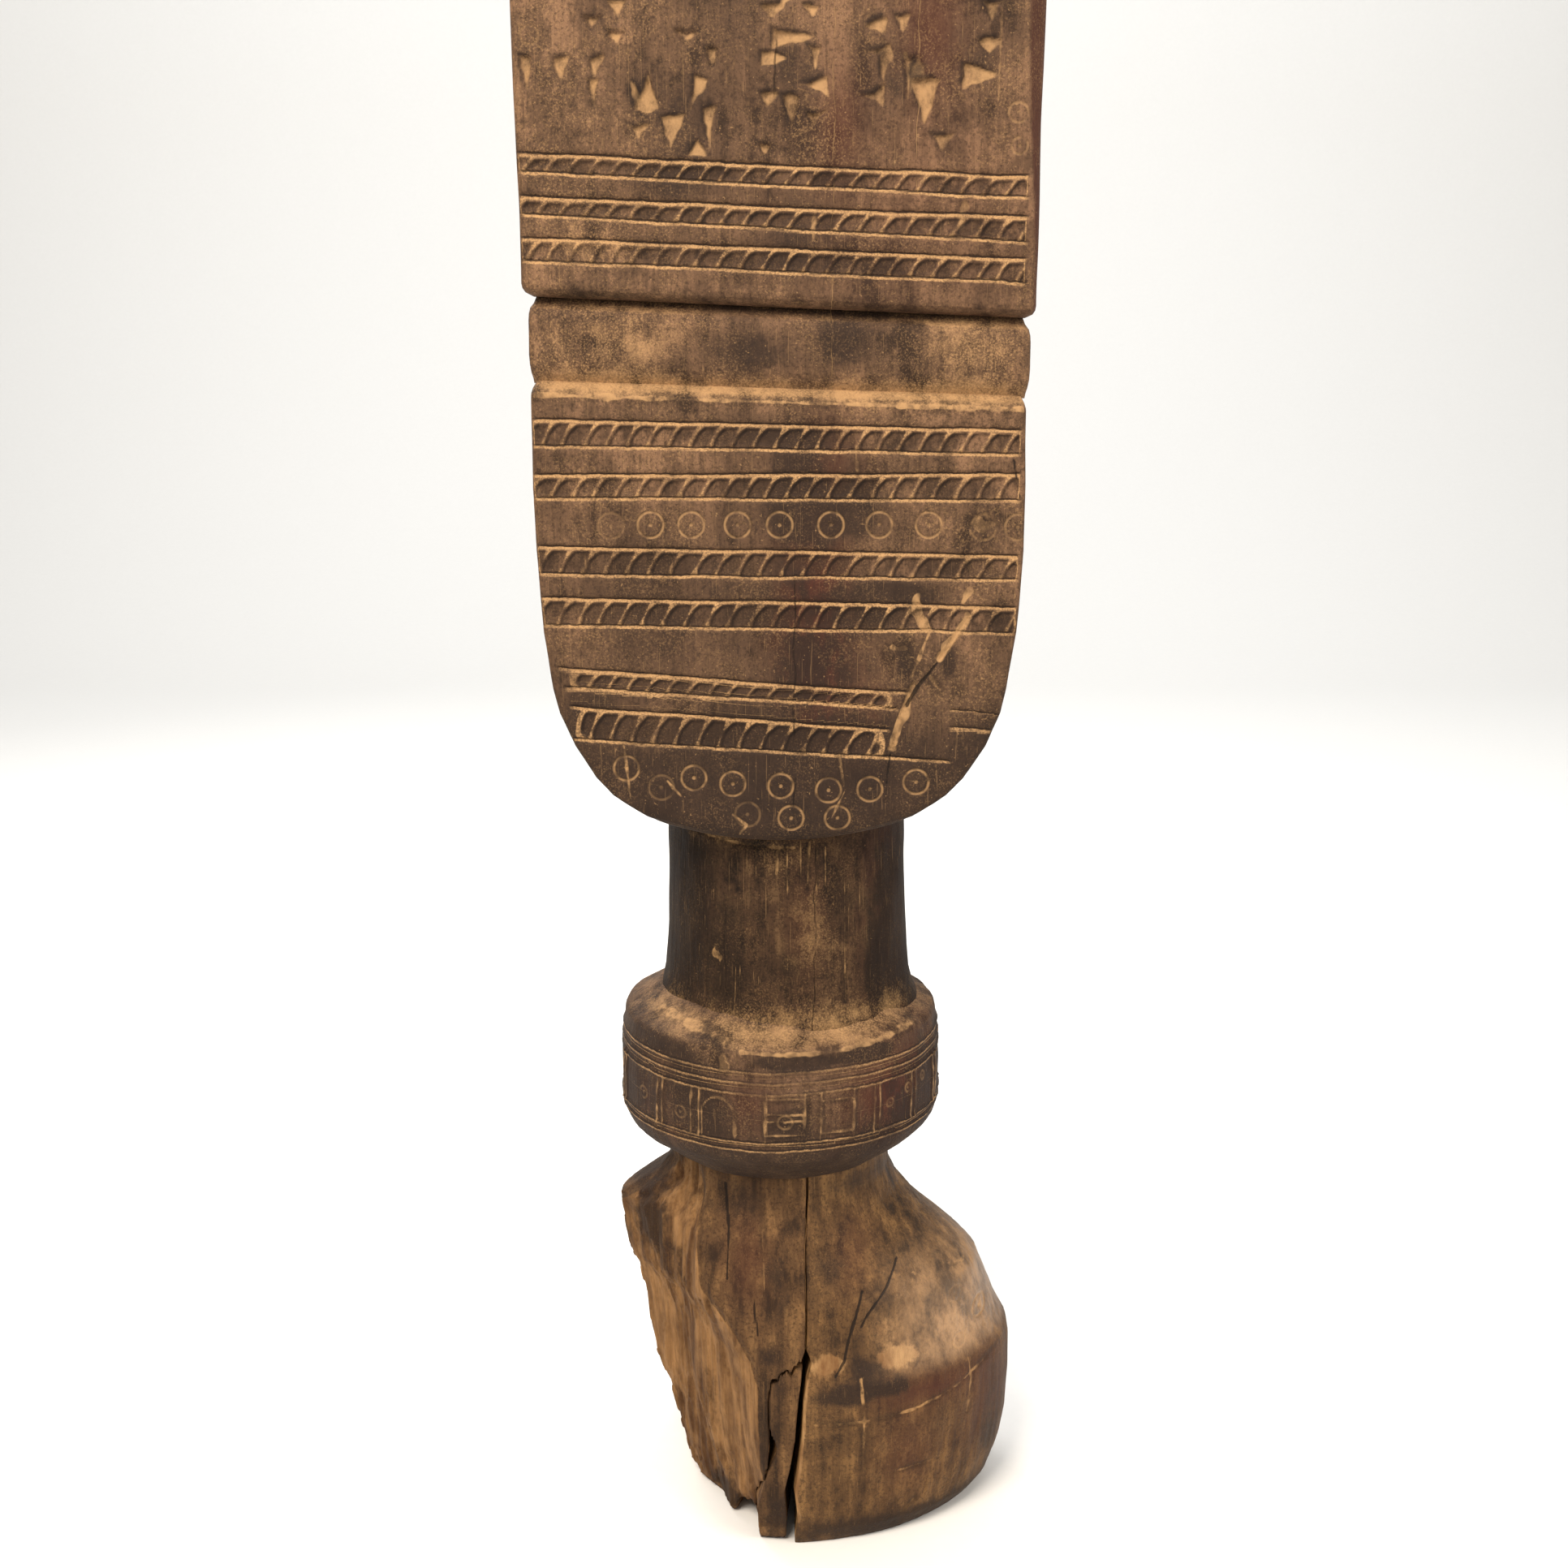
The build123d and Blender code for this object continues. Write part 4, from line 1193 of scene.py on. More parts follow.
@dataclass
class Neck(Turned):
    """Round post under the tongue, flaring a little into the collar's ledge."""

    name: str = "neck"
    slot: str = "smoked_wood"
    centre: float = NECK_X
    profile: tuple[tuple[float, float], ...] = (
        (0.0, COLLAR_TOP - 4.0), (31.0, COLLAR_TOP - 4.0), (30.4, 126.4), (29.4, 128.6), (28.6, 132.0),
        (28.2, 137.0), (27.9, 143.0), (27.7, 152.0), (27.6, 163.0), (27.3, NECK_TOP + 2.0),
        (0.0, NECK_TOP + 2.0),
    )
    columns: int = 340

    def marks(self, angle: np.ndarray, z: np.ndarray) -> dict[str, np.ndarray]:
        """Faint verticals, painted shade at the two sides and a painted shadow under the tongue."""
        # Painted shade on the two sides (about -66 and 70 degrees) and a painted shadow under the tongue (the
        # thin band at z 172.6); the other patches are soot.
        sides = [Stain(-66.0, 148.0, 26.0, 30.0, 1.3), Stain(70.0, 148.0, 26.0, 30.0, 1.2),
                 Stain(0.0, 172.6, 90.0, 2.4, 0.9), Stain(-26.0, 138.0, 12.0, 16.0, 0.55),
                 Stain(24.0, 154.0, 7.0, 7.0, 0.5), Stain(-2.0, 138.0, 10.0, 5.0, 0.4),
                 Stain(46.0, 134.0, 9.0, 9.0, 0.6), Stain(0.0, 160.0, 8.0, 5.0, 0.35)]
        hang = np.random.default_rng(77)
        scores = [
            Gouge(((27.4, 132.0), (27.8, 160.0)), 0.4, 0.1),
            Gouge(((34.0, 158.0), (34.4, 169.0)), 0.4, 0.1),
        ]
        for turn in np.linspace(-52.0, 46.0, 34):
            slip, start, drop = hang.uniform(0, 1, 3)
            under = -20.0 < turn < 18.0
            top = 168.0 - 2.0 * start if under else 140.0 + 26.0 * start
            low = top - (3.0 + 9.0 * drop if under else 4.0 + 16.0 * drop)
            lean = 1.6 * (slip - 0.5) if under else 0.3
            scores.append(Gouge(((turn + 2 * slip, top), (turn + 2 * slip + lean, low)), 0.4, 0.05,
                                0.02 if under else 0.2))
        scores.append(Gouge(((-62.0, 169.6), (-34.0, 167.8), (-8.0, 166.8), (4.0, 166.8)), 0.5, 0.2, 0.05))
        scores.append(Gouge(((-36.0, 141.6), (-32.0, 140.6)), 3.4, 0.2, 0.9))
        work = KnifeWork(
            scores=scores,
            soot=sides,
            rust=(Stain(8.0, 150.0, 10.0, 14.0, 0.2), Stain(62.0, 150.0, 22.0, 26.0, 0.6)),
            dust=(Stain(20.0, 127.4, 50.0, 4.2, 0.85), Stain(-45.0, 127.0, 30.0, 3.0, 0.6),
                  Stain(14.0, 146.0, 14.0, 12.0, 0.34), Stain(-34.0, 141.0, 4.0, 4.0, 0.3),
                  Stain(-6.0, 165.0, 14.0, 5.0, 0.5), Stain(-38.0, 168.0, 18.0, 2.0, 0.6),
                  Stain(56.0, 127.0, 12.0, 5.0, 0.5)),
            seed=23,
        )
        return work.measure(angle, z)


@dataclass
class CollarRing(Turned):
    """Thick ring with incised lines round its rims and worn strapwork between them."""

    name: str = "collar_ring"
    slot: str = "patinated_wood"
    centre: float = 0.0
    profile: tuple[tuple[float, float], ...] = (
        (0.0, COLLAR_TOP), (28.0, COLLAR_TOP), (29.6, 126.6), (31.8, 125.2), (34.0, 124.0), (35.7, 123.1),
        (36.2, 122.2), (36.5, 119.6), (37.0, 115.0), (COLLAR_RADIUS + 0.1, 110.0), (37.4, 104.0),
        (37.0, 99.6), (36.0, 97.2), (33.6, 94.9), (29.4, 91.6), (26.0, FOOT_TOP), (0.0, FOOT_TOP),
    )
    columns: int = 560
    row_step: float = 0.42
    facet: float = 0.4
    top_lines: tuple[float, ...] = (118.6, 116.2, 113.8)
    low_lines: tuple[float, ...] = (102.6, 100.6)
    uprights: tuple[float, ...] = (-47.0, -44.4, -31.7, -28.5, 33.4, 35.6, 51.4, 54.0, 8.0, 13.5, 25.3, -4.9)

    def marks(self, angle: np.ndarray, z: np.ndarray) -> dict[str, np.ndarray]:
        """Lines round the rims, uprights, boxes and an arch between them, and worn dots."""
        arc = np.radians(angle) * COLLAR_RADIUS
        wobble = Lattice(31)
        spot = np.stack([arc, z * 0, z * 0], -1)
        wander = 0.45 * wobble.at(spot, (16.0, 1.0, 1.0)) + 0.15 * wobble.at(spot, (4.0, 1.0, 1.0))
        scores: list[Gouge] = []
        foot, head = self.low_lines[0], self.top_lines[-1]
        for turn in self.uprights:
            across = math.radians(turn) * COLLAR_RADIUS
            scores.append(Gouge(((across, foot), (across + 0.3, head)), 0.3, 0.3, 0.04))
        for turn in range(70, 300, 24):
            across = math.radians(turn if turn < 180 else turn - 360) * COLLAR_RADIUS
            scores.append(Gouge(((across, foot), (across, head)), 0.55, 0.35))
            scores.append(Gouge(((across + 2.0, foot), (across + 2.0, head)), 0.55, 0.35))
        frames = ((-3.2, 5.2, 104.3, 107.6), (-3.2, 5.2, 109.2, 112.6), (9.0, 16.4, 104.4, 111.8))
        for left, right, low, high in frames:
            corners = ((left, low), (right, low), (right, high), (left, high), (left, low))
            scores.append(Gouge(corners, 0.3, 0.3, 0.04))
        arch = tuple(
            (-13.8 - 3.9 * math.cos(t), 108.0 + 4.2 * math.sin(t)) for t in np.linspace(0, math.pi, 9)
        )
        scores.append(Gouge(((-17.7, 103.2),) + arch + ((-9.9, 103.2),), 0.3, 0.3, 0.02))
        upper_right = ((-9.0, 122.5), (0.0, 122.3), (14.0, 122.5), (27.0, 123.0), (40.0, 123.6))
        scores.append(Gouge(upper_right, 0.5, 0.1, 0.0))
        scores.append(Gouge(((-40.0, 126.0), (-30.0, 125.6), (-21.0, 125.0), (-13.0, 123.8)), 0.9, 0.1, 0.0))
        scores.append(Gouge(((40.0, 126.4), (56.0, 126.8)), 0.9, 0.1, 0.1))
        scores.append(Gouge(((-13.2, 121.0), (-12.6, 119.4)), 2.4, 0.1, 0.5))
        marks = KnifeWork(
            scores=scores,
            rings=(Ring(1.1, 107.4, 1.6, 0.7), Ring(26.4, 108.4, 1.0, 0.7), Ring(32.4, 110.2, 1.0, 0.6),
                   Ring(39.0, 111.0, 1.0, 0.5), Ring(-23.4, 107.0, 1.4, 0.4), Ring(-36.0, 108.0, 1.4, 0.4)),
            # Soot, and painted shade: the patches on the two sides (arc about 46 and 60 mm either way) and
            # the band along the lower edge at z 92.
            soot=(Stain(0.0, 107.0, 90.0, 13.0, 0.3), Stain(-18.0, 106.0, 9.0, 9.0, 0.35),
                  Stain(20.0, 101.0, 10.0, 6.0, 0.4),
                  Stain(-46.0, 108.0, 14.0, 14.0, 0.8), Stain(46.0, 106.0, 14.0, 14.0, 0.7),
                  Stain(0.0, 92.0, 90.0, 6.0, 0.9), Stain(-32.0, 120.6, 14.0, 2.6, 0.6),
                  Stain(4.0, 120.6, 8.0, 1.6, 1.7), Stain(21.0, 120.8, 6.0, 1.5, 1.7),
                  Stain(2.0, 106.0, 5.0, 6.0, 0.5), Stain(-21.0, 114.0, 6.0, 6.0, 0.5),
                  Stain(60.0, 108.0, 16.0, 16.0, 0.6), Stain(-62.0, 108.0, 16.0, 16.0, 0.5)),
            rust=(Stain(28.0, 108.0, 12.0, 12.0, 1.4), Stain(-6.0, 110.0, 7.0, 7.0, 0.5),
                  Stain(44.0, 106.0, 12.0, 12.0, 1.3), Stain(-34.0, 106.0, 12.0, 9.0, 0.6)),
            dust=(Stain(6.0, 125.2, 26.0, 1.8, 0.5), Stain(40.0, 125.4, 20.0, 1.8, 0.45),
                  Stain(-36.0, 125.8, 20.0, 1.6, 0.5), Stain(-13.0, 120.0, 4.0, 4.0, 0.5)),
            seed=31,
        ).measure(arc, z)
        nearest = np.full(z.shape, 9.0)
        for height in self.top_lines + self.low_lines:
            away = z - height - wander
            nearest = np.where(np.abs(away) < np.abs(nearest), away, nearest)
        marks["rule"] = np.clip(nearest, -3, 3)
        marks["flip"] = np.ones(z.shape)
        marks["rule_on"] = 0.85 - 0.6 * np.exp(-((arc - 2.0) / 14.0) ** 2) * (z > 112.0)
        marks["depth"] = marks["depth"] + 0.4 * np.exp(-(nearest / 0.4) ** 2)
        return marks


@dataclass
class FootPart:
    """One of the three parts of the split foot, a star-shaped stack round its own core.

    Each row is a height; each column is a direction from the core; the reach is the nearest
    of the oval surface, the broken face, the split and the splinter's seat.
    """

    name: str
    slot: str
    core: Callable[[np.ndarray], tuple[np.ndarray, np.ndarray]]
    walls: Callable[[np.ndarray, np.ndarray, np.ndarray], np.ndarray]
    top: float = FOOT_TOP
    focus: float = 0.0          # the direction of the split's mouth, where columns crowd together
    columns: int = 500
    row_step: float = 0.48
    seed: int = 51
    work: KnifeWork = field(default_factory=KnifeWork)
    fibre: float = 0.0
    cap_rows: int = 6

    def build(self, material: bpy.types.Material) -> bpy.types.Object:
        """March outwards from the core to the first wall, then dress the skin."""
        heights = spaced(0.0, self.top, self.row_step)
        fade = np.linspace(0, 1, self.cap_rows + 1)[:-1]
        rows = [(0.0, share) for share in fade] + [(h, 1.0) for h in heights]
        rows += [(self.top, share) for share in fade[::-1]]
        height = np.array([row[0] for row in rows])[:, None]
        share = np.array([row[1] for row in rows])[:, None]
        every = np.linspace(-math.pi, math.pi, 6001)
        crowd = np.cumsum(1.0 + 6.0 * np.exp(-((every - self.focus) / 0.085) ** 2))
        even = np.linspace(crowd[0], crowd[-1], self.columns + 1)[:-1]
        angle = np.interp(even, crowd, every)[None, :]
        turn = np.broadcast_to(angle, (len(rows), self.columns))
        high = np.broadcast_to(height, turn.shape)
        core_x, core_y = self.core(high)
        dir_x, dir_y = np.sin(turn), -np.cos(turn)
        near, far = np.zeros(turn.shape), np.full(turn.shape, 140.0)
        for _ in range(34):
            middle = (near + far) / 2
            clear = self.walls(core_x + middle * dir_x, core_y + middle * dir_y, high) > 0
            near, far = np.where(clear, middle, near), np.where(clear, far, middle)
        reach = (near + far) / 2 * share
        points = np.stack([core_x + reach * dir_x, core_y + reach * dir_y, high], -1)
        marks = self.work.measure(points[..., 0], points[..., 2])
        cut = marks.pop("depth")
        on_front = (dir_y < -0.15) & (share == 1.0)
        cut = np.where(on_front, cut, 0.0)
        bare = self.bare(points)
        marks["pale"] = np.maximum(marks["pale"], bare)
        marks["gloss_and_highlight"] = self.gloss_and_highlight(points)
        rim = right_lip(points[..., 0], points[..., 1], points[..., 2])
        rim = np.exp(-(rim / 0.9) ** 2) * ramp(points[..., 2], 45.0, 42.0) * ramp(points[..., 2], 3.0, 9.0)
        marks["pale"] = np.maximum(marks["pale"], 0.75 * rim * (self.name == "foot_bulb"))
        for key in ("crack", "score"):
            marks[key] = np.where(on_front & (bare < 0.3), marks[key], 3.0)
        weather = Weathering(self.seed, 0.45, 0.1).lift(points)
        splits = Lattice(self.seed + 1)
        steps = splits.at(points, (2.6, 2.6, 46.0)) + 0.6 * splits.at(points, (0.9, 0.9, 22.0))
        steps = np.round(steps * 2.2) / 2.2 * 0.6 + steps * 0.4
        lift = (weather - 0.35) * (1 - bare) + self.fibre * steps * bare - cut
        lift = lift * np.minimum(1.0, reach / 5.0) * np.where(share < 1, share, 1.0)
        points[..., 0] += lift * dir_x
        points[..., 1] += lift * dir_y
        return Skin(self.name, points, marks).build(material, self.slot, [self.name])

    def bare(self, points: np.ndarray) -> np.ndarray:
        """Share of freshly split wood at each point."""
        x, y, z = points[..., 0], points[..., 1], points[..., 2]
        oval = foot_oval(x, y, z, broken=self.name != "foot_bulb")
        return ramp(oval, 1.0, 2.2) * ((z > 0.5) & (z < self.top - 0.2))

    def gloss_and_highlight(self, points: np.ndarray) -> np.ndarray:
        """Handling gloss on the bulb's shoulder, strongest at its right, where a painted highlight is also
        laid.
        """
        x, z = points[..., 0], points[..., 2]
        wide = ramp(z, 40.0, 45.0) * ramp(z, 74.0, 58.0) * ramp(x, 16.0, 34.0)
        return wide * (0.45 + 0.55 * np.exp(-((x - 44.0) / 9.0) ** 2 - ((z - 51.0) / 7.0) ** 2))


SOUND_SECTIONS = (
    (0.0, 47.0, 33.5), (1.6, 49.6, 34.6), (4.5, 52.0, 35.6), (12.0, 54.4, 36.5), (20.0, 55.8, 37.0),
    (30.0, 56.5, 37.2), (38.0, 56.4, 37.2), (41.0, 56.0, 37.0), (43.0, 54.9, 36.3), (46.0, 53.4, 35.4),
    (52.0, 51.0, 34.4),
    (59.0, 48.0, 33.6), (62.0, 45.4, 32.7), (65.0, 42.0, 31.6), (71.0, 34.4, 29.2), (77.5, 28.8, 27.2),
    (83.0, 26.4, 26.0), (89.0, 25.8, 25.8), (92.0, 25.8, 25.8),
)
BROKEN_SECTIONS = (
    (0.0, 47.0, 33.5), (1.6, 49.6, 34.6), (4.5, 52.0, 35.6), (20.0, 55.8, 37.0), (42.0, 56.0, 37.0),
    (50.0, 53.6, 35.8), (59.0, 50.0, 34.0), (66.0, 45.6, 32.2), (73.7, 38.8, 30.0), (77.3, 33.6, 28.0),
    (80.0, 29.2, 26.8), (84.0, 26.4, 26.0), (89.0, 25.8, 25.8), (92.0, 25.8, 25.8),
)
# Height, then place across the front: the edge of the broken face, the split, the splinter's left side.
BREAK_EDGE = (
    (0.0, 0.4), (5.0, -0.8), (12.0, -2.6), (24.0, -3.9), (41.0, -3.9), (47.0, -5.4), (53.0, -8.6),
    (57.0, -11.6), (60.0, -13.4), (66.0, -14.0), (78.0, -14.4), (84.0, -14.6), (87.0, -15.0), (92.0, -15.4),
)
BREAK_SIDE = (
    (0.0, -21.2), (5.1, -22.9), (13.5, -24.9), (21.8, -27.0), (31.8, -30.5), (40.7, -32.1), (47.9, -32.8),
    (54.2, -34.0), (58.3, -36.1), (67.8, -37.7), (73.7, -38.9), (78.0, -32.8), (81.0, -28.3), (84.0, -26.6),
    (87.0, -27.5), (92.0, -30.0),
)
SPLIT_LINE = (
    (0.0, 2.3), (7.5, 2.8), (15.0, 2.1), (22.5, 3.4), (29.0, 4.2), (38.0, 4.7), (43.0, 5.4), (46.0, 5.9),
    (50.0, 5.8), (58.0, 5.9), (72.0, 5.5), (84.0, 6.0), (92.0, 6.0),
)
SPLIT_WIDTH = (
    (0.0, 2.0), (8.0, 2.3), (15.0, 2.1), (24.0, 1.5), (34.0, 1.2), (43.0, 1.0), (45.4, 1.5), (47.0, 2.4),
    (48.6, 1.3), (50.0, 0.12), (60.0, 0.06), (92.0, 0.06),
)
SPLIT_LIP_BACK = 6.0
SPLINTER_EDGE = (
    (0.0, -5.0), (3.0, -5.2), (10.0, -5.6), (15.0, -4.3), (22.0, -2.8), (28.0, -2.5), (38.0, -2.7),
    (43.0, -2.1),
    (50.0, -2.0), (92.0, -2.0),
)


def foot_oval(x: np.ndarray, y: np.ndarray, z: np.ndarray, broken: bool) -> np.ndarray:
    """Distance inside the foot's oval surface, millimetres, negative outside."""
    table = BROKEN_SECTIONS if broken else SOUND_SECTIONS
    wide, deep = along(z, table), along(z, table, 2)
    spoke = np.hypot(x / wide, y / deep)
    return (1 - spoke) * np.minimum(wide, deep)


def split_side(x: np.ndarray, y: np.ndarray, z: np.ndarray) -> np.ndarray:
    """How far right of the main split's centre a point lies; the split wanders with depth."""
    inward = (y + HALF_DEPTH) / HALF_DEPTH
    return x - along(z, SPLIT_LINE) - 1.2 * np.sin(inward * 2.1) * np.clip(inward, 0, 2)


def right_lip(x: np.ndarray, y: np.ndarray, z: np.ndarray) -> np.ndarray:
    """Distance inside the sound half, from the split."""
    narrowing = ramp(y, SPLIT_LIP_BACK, -HALF_DEPTH)
    return split_side(x, y, z) - 0.5 * along(z, SPLIT_WIDTH) * narrowing - 0.03


def sound_walls(x: np.ndarray, y: np.ndarray, z: np.ndarray) -> np.ndarray:
    """Distance inside the sound half of the foot."""
    lip = right_lip(x, y, z)
    edge = foot_oval(x, y, z, broken=False)
    return np.minimum(lip, edge) - 0.15 * np.exp(-np.abs(lip - edge) / 0.4)


def splinter_seat(x: np.ndarray, y: np.ndarray, z: np.ndarray) -> np.ndarray:
    """Distance inside the room that the splinter takes, negative outside."""
    left = x - along(z, SPLINTER_EDGE)
    depth = SPLINTER_BACK - y
    ragged = 0.7 * np.sin(1.9 * x) + 0.4 * np.sin(4.3 * x + 1.0)
    head = SPLIT_TOP - 2.6 + 0.55 * (x + 2.0) + ragged - 0.12 * (y + HALF_DEPTH) - z
    return np.minimum(np.minimum(left, depth), head)


def broken_walls(x: np.ndarray, y: np.ndarray, z: np.ndarray) -> np.ndarray:
    """Distance inside the broken half: oval, broken face, split and the splinter's seat."""
    edge, side = along(z, BREAK_EDGE), along(z, BREAK_SIDE)
    wide, deep = along(z, BROKEN_SECTIONS), along(z, BROKEN_SECTIONS, 2)
    front = deep * np.sqrt(np.clip(1 - (edge / wide) ** 2, 0.1, 1))
    slope = (edge - side) / front
    face = (x - side + slope * y) / np.hypot(1, slope)
    back_face = x - side + 1.2 * y / HALF_DEPTH
    face = np.where(y > 0, back_face, face)
    strip = 1.5 * ramp(x, -19.6, -18.8) * ramp(z, 57.0, 64.0)
    torn = 0.6 * np.sin(2.3 * x + 0.7 * z) + 0.4 * np.sin(5.1 * x)
    notch = 5.0 * np.exp(-((x + 7.4) / 1.9) ** 2) * ramp(z, 7.0 + torn, 1.5 + torn)
    tip = 2.6 * np.exp(-((x + 11.4) / 1.7) ** 2) * ramp(z, 13.0, 0.0)
    hollow = 1.3 * np.sin((y + 0.35 * z) / 6.0) + 0.7 * np.sin((y - 0.2 * z) / 2.7 + 1.0)
    face = face + strip + tip - notch - 0.5 * hollow * ramp(y, 2.0, -3.0) * ramp(y, -front, -front + 5.0)
    lip = -split_side(x, y, z) - 0.5 * along(z, SPLIT_WIDTH) * ramp(y, SPLIT_LIP_BACK, -HALF_DEPTH) - 0.03
    room = -splinter_seat(x, y, z)
    oval = foot_oval(x, y, z, broken=True)
    return np.minimum(np.minimum(oval, face), np.minimum(lip, room))


def splinter_walls(x: np.ndarray, y: np.ndarray, z: np.ndarray) -> np.ndarray:
    """Distance inside the splinter, held a hair clear of its seat."""
    lip = -split_side(x, y, z) - 0.5 * along(z, SPLIT_WIDTH) * ramp(y, SPLIT_LIP_BACK, -HALF_DEPTH)
    gap = 0.12 + 1.7 * np.exp(-((z - 26.0) / 3.6) ** 2) + 0.25 * np.exp(-((z - 6.0) / 5.0) ** 2)
    room = splinter_seat(x, y, z) - gap * ramp(y, -20.0, -HALF_DEPTH)
    inset = 1.6 * ramp(z, 14.0, 0.0)
    oval = foot_oval(x, y, z, broken=True) - 0.4 - inset
    return np.minimum(np.minimum(oval, room), lip)


def foot_bulb() -> FootPart:
    """The sound right half of the foot, glossy on its shoulder."""
    work = KnifeWork(
        rings=(Ring(47.7, 50.4, 1.9, 0.9), Ring(42.4, 45.8, 1.5, 0.6), Ring(41.4, 56.0, 1.6, 0.3)),
        cracks=(
            Gouge(((27.2, 67.0), (24.6, 62.0), (20.0, 56.7), (18.6, 54.2)), 0.3, 0.4),
            Gouge(((18.9, 62.2), (17.4, 57.0), (15.7, 51.7), (14.6, 47.0), (12.6, 43.6)), 0.4, 0.4),
        ),
        scores=(
            Gouge(((8.0, 32.6), (21.0, 32.5), (32.0, 33.6)), 0.6, 0.1, 0.2),
            Gouge(((32.0, 33.6), (42.0, 36.4), (52.0, 40.6)), 0.6, 0.1, 0.24),
            Gouge(((27.0, 18.0), (38.0, 18.6)), 0.6, 0.1, 0.26), Gouge(((18.6, 43.0), (19.4, 33.0),
            (19.0, 14.0)), 0.6, 0.1, 0.26),
            Gouge(((27.0, 9.8), (28.6, 5.6), (31.6, 8.6)), 0.6, 0.1, 0.26),
            Gouge(((44.6, 41.6), (45.4, 36.0), (44.4, 28.0)), 0.7, 0.1, 0.26),
            Gouge(((41.0, 68.0), (47.0, 65.0)), 0.6, 0.1, 0.2), Gouge(((38.0, 62.8), (44.0, 61.0)),
            0.5, 0.1, 0.2),
            Gouge(((31.0, 63.4), (34.4, 61.4)), 0.5, 0.1, 0.2),
        ),
        soot=(
            Stain(15.0, 39.4, 7.0, 2.6, 0.9), Stain(25.0, 40.2, 6.0, 2.4, 0.8),
            Stain(20.0, 44.8, 3.6, 2.6, 0.8),
            Stain(17.6, 50.0, 2.6, 4.6, 0.6), Stain(20.0, 16.0, 9.0, 12.0, 0.2),
            Stain(12.0, 68.0, 4.0, 4.0, 0.5),
            Stain(34.0, 3.0, 20.0, 4.0, 0.9), Stain(12.0, 5.0, 10.0, 4.0, 0.5),
            Stain(40.0, 26.0, 6.0, 12.0, 0.2),
            Stain(20.0, 85.0, 20.0, 3.0, 0.4), Stain(52.0, 20.0, 5.0, 16.0, 0.5),
            Stain(24.0, 70.0, 5.0, 5.0, 0.2),
        ),
        rust=(Stain(36.0, 38.0, 14.0, 4.5, 0.8), Stain(30.0, 22.0, 8.0, 12.0, 0.6),
              Stain(17.0, 70.0, 5.0, 9.0, 0.4),
              Stain(50.0, 28.0, 8.0, 14.0, 0.7)),
        pale=(Stain(10.6, 46.6, 4.2, 3.0, 0.8), Stain(27.0, 46.2, 7.0, 3.0, 0.75),
              Stain(24.0, 54.0, 5.0, 5.0, 0.4), Stain(12.0, 28.0, 5.0, 6.0, 0.3),
              Stain(44.0, 66.0, 8.0, 5.0, 0.3)),
        seed=43,
    )
    return FootPart(
        name="foot_bulb",
        slot="handled_wood",
        core=lambda z: (np.full(z.shape, 15.0), np.zeros(z.shape)),
        walls=sound_walls,
        focus=-0.30,
        seed=51,
        work=work,
        fibre=0.3,
    )


def foot_broken_side() -> FootPart:
    """The left half, whose outer third has split away along the grain."""
    work = KnifeWork(
        cracks=(Gouge(((-12.6, 86.0), (-11.8, 76.0), (-12.2, 66.0)), 0.2, 0.3),
                Gouge(((-6.0, 62.0), (-5.0, 54.0)), 0.2, 0.3)),
        scores=(Gouge(((-4.0, 84.0), (-3.4, 62.0)), 0.4, 0.1, 0.26),),
        soot=(Stain(-8.0, 82.0, 9.0, 7.0, 0.5), Stain(0.0, 64.0, 3.0, 12.0, 0.5),
              Stain(-7.0, 56.0, 3.0, 9.0, 0.4),
              Stain(-30.0, 74.0, 6.0, 9.0, 0.6), Stain(-30.0, 86.0, 9.0, 6.0, 0.6),
              Stain(-24.0, 62.0, 4.0, 8.0, 0.35),
              Stain(-16.0, 30.0, 3.0, 16.0, 0.3), Stain(-12.0, 8.0, 5.0, 8.0, 0.45),
              Stain(-3.0, 49.0, 3.0, 3.0, 0.6), Stain(-34.0, 64.0, 5.0, 12.0, 0.5),
              Stain(-14.0, 4.0, 6.0, 4.0, 0.6)),
        rust=(Stain(-7.0, 70.0, 5.0, 9.0, 0.5),),
        seed=45,
    )
    return FootPart(
        name="foot_broken_side",
        slot="weathered_wood",
        core=lambda z: (np.full(z.shape, -9.0) + 0.0 * z, np.full(z.shape, 8.0)),
        walls=broken_walls,
        focus=0.34,
        seed=52,
        work=work,
        fibre=1.1,
    )


def foot_splinter() -> FootPart:
    """A loose sliver of the front, standing in its seat beside the split."""
    return FootPart(
        name="foot_splinter",
        slot="weathered_wood",
        core=lambda z: (
            (along(z, SPLINTER_EDGE) + along(z, SPLIT_LINE)) * 0.5 - 0.3, np.full(z.shape, -24.0),
        ),
        walls=splinter_walls,
        top=SPLIT_TOP,
        columns=200,
        seed=53,
        work=KnifeWork(soot=(Stain(0.0, 8.0, 6.0, 12.0, 0.7), Stain(0.0, 42.0, 6.0, 3.0, 0.4)), seed=47),
        fibre=0.35,
    )


# ---------------------------------------------------------------- finishes of this timber

class Finish(Enum):
    """The record's slots, each with the way its timber has aged."""

    PATINATED = "patinated_wood"
    SMOKED = "smoked_wood"
    HANDLED = "handled_wood"
    WEATHERED = "weathered_wood"

    def material(self) -> bpy.types.Material:
        """Grow this finish's material."""
        return FINISHES[self].make()


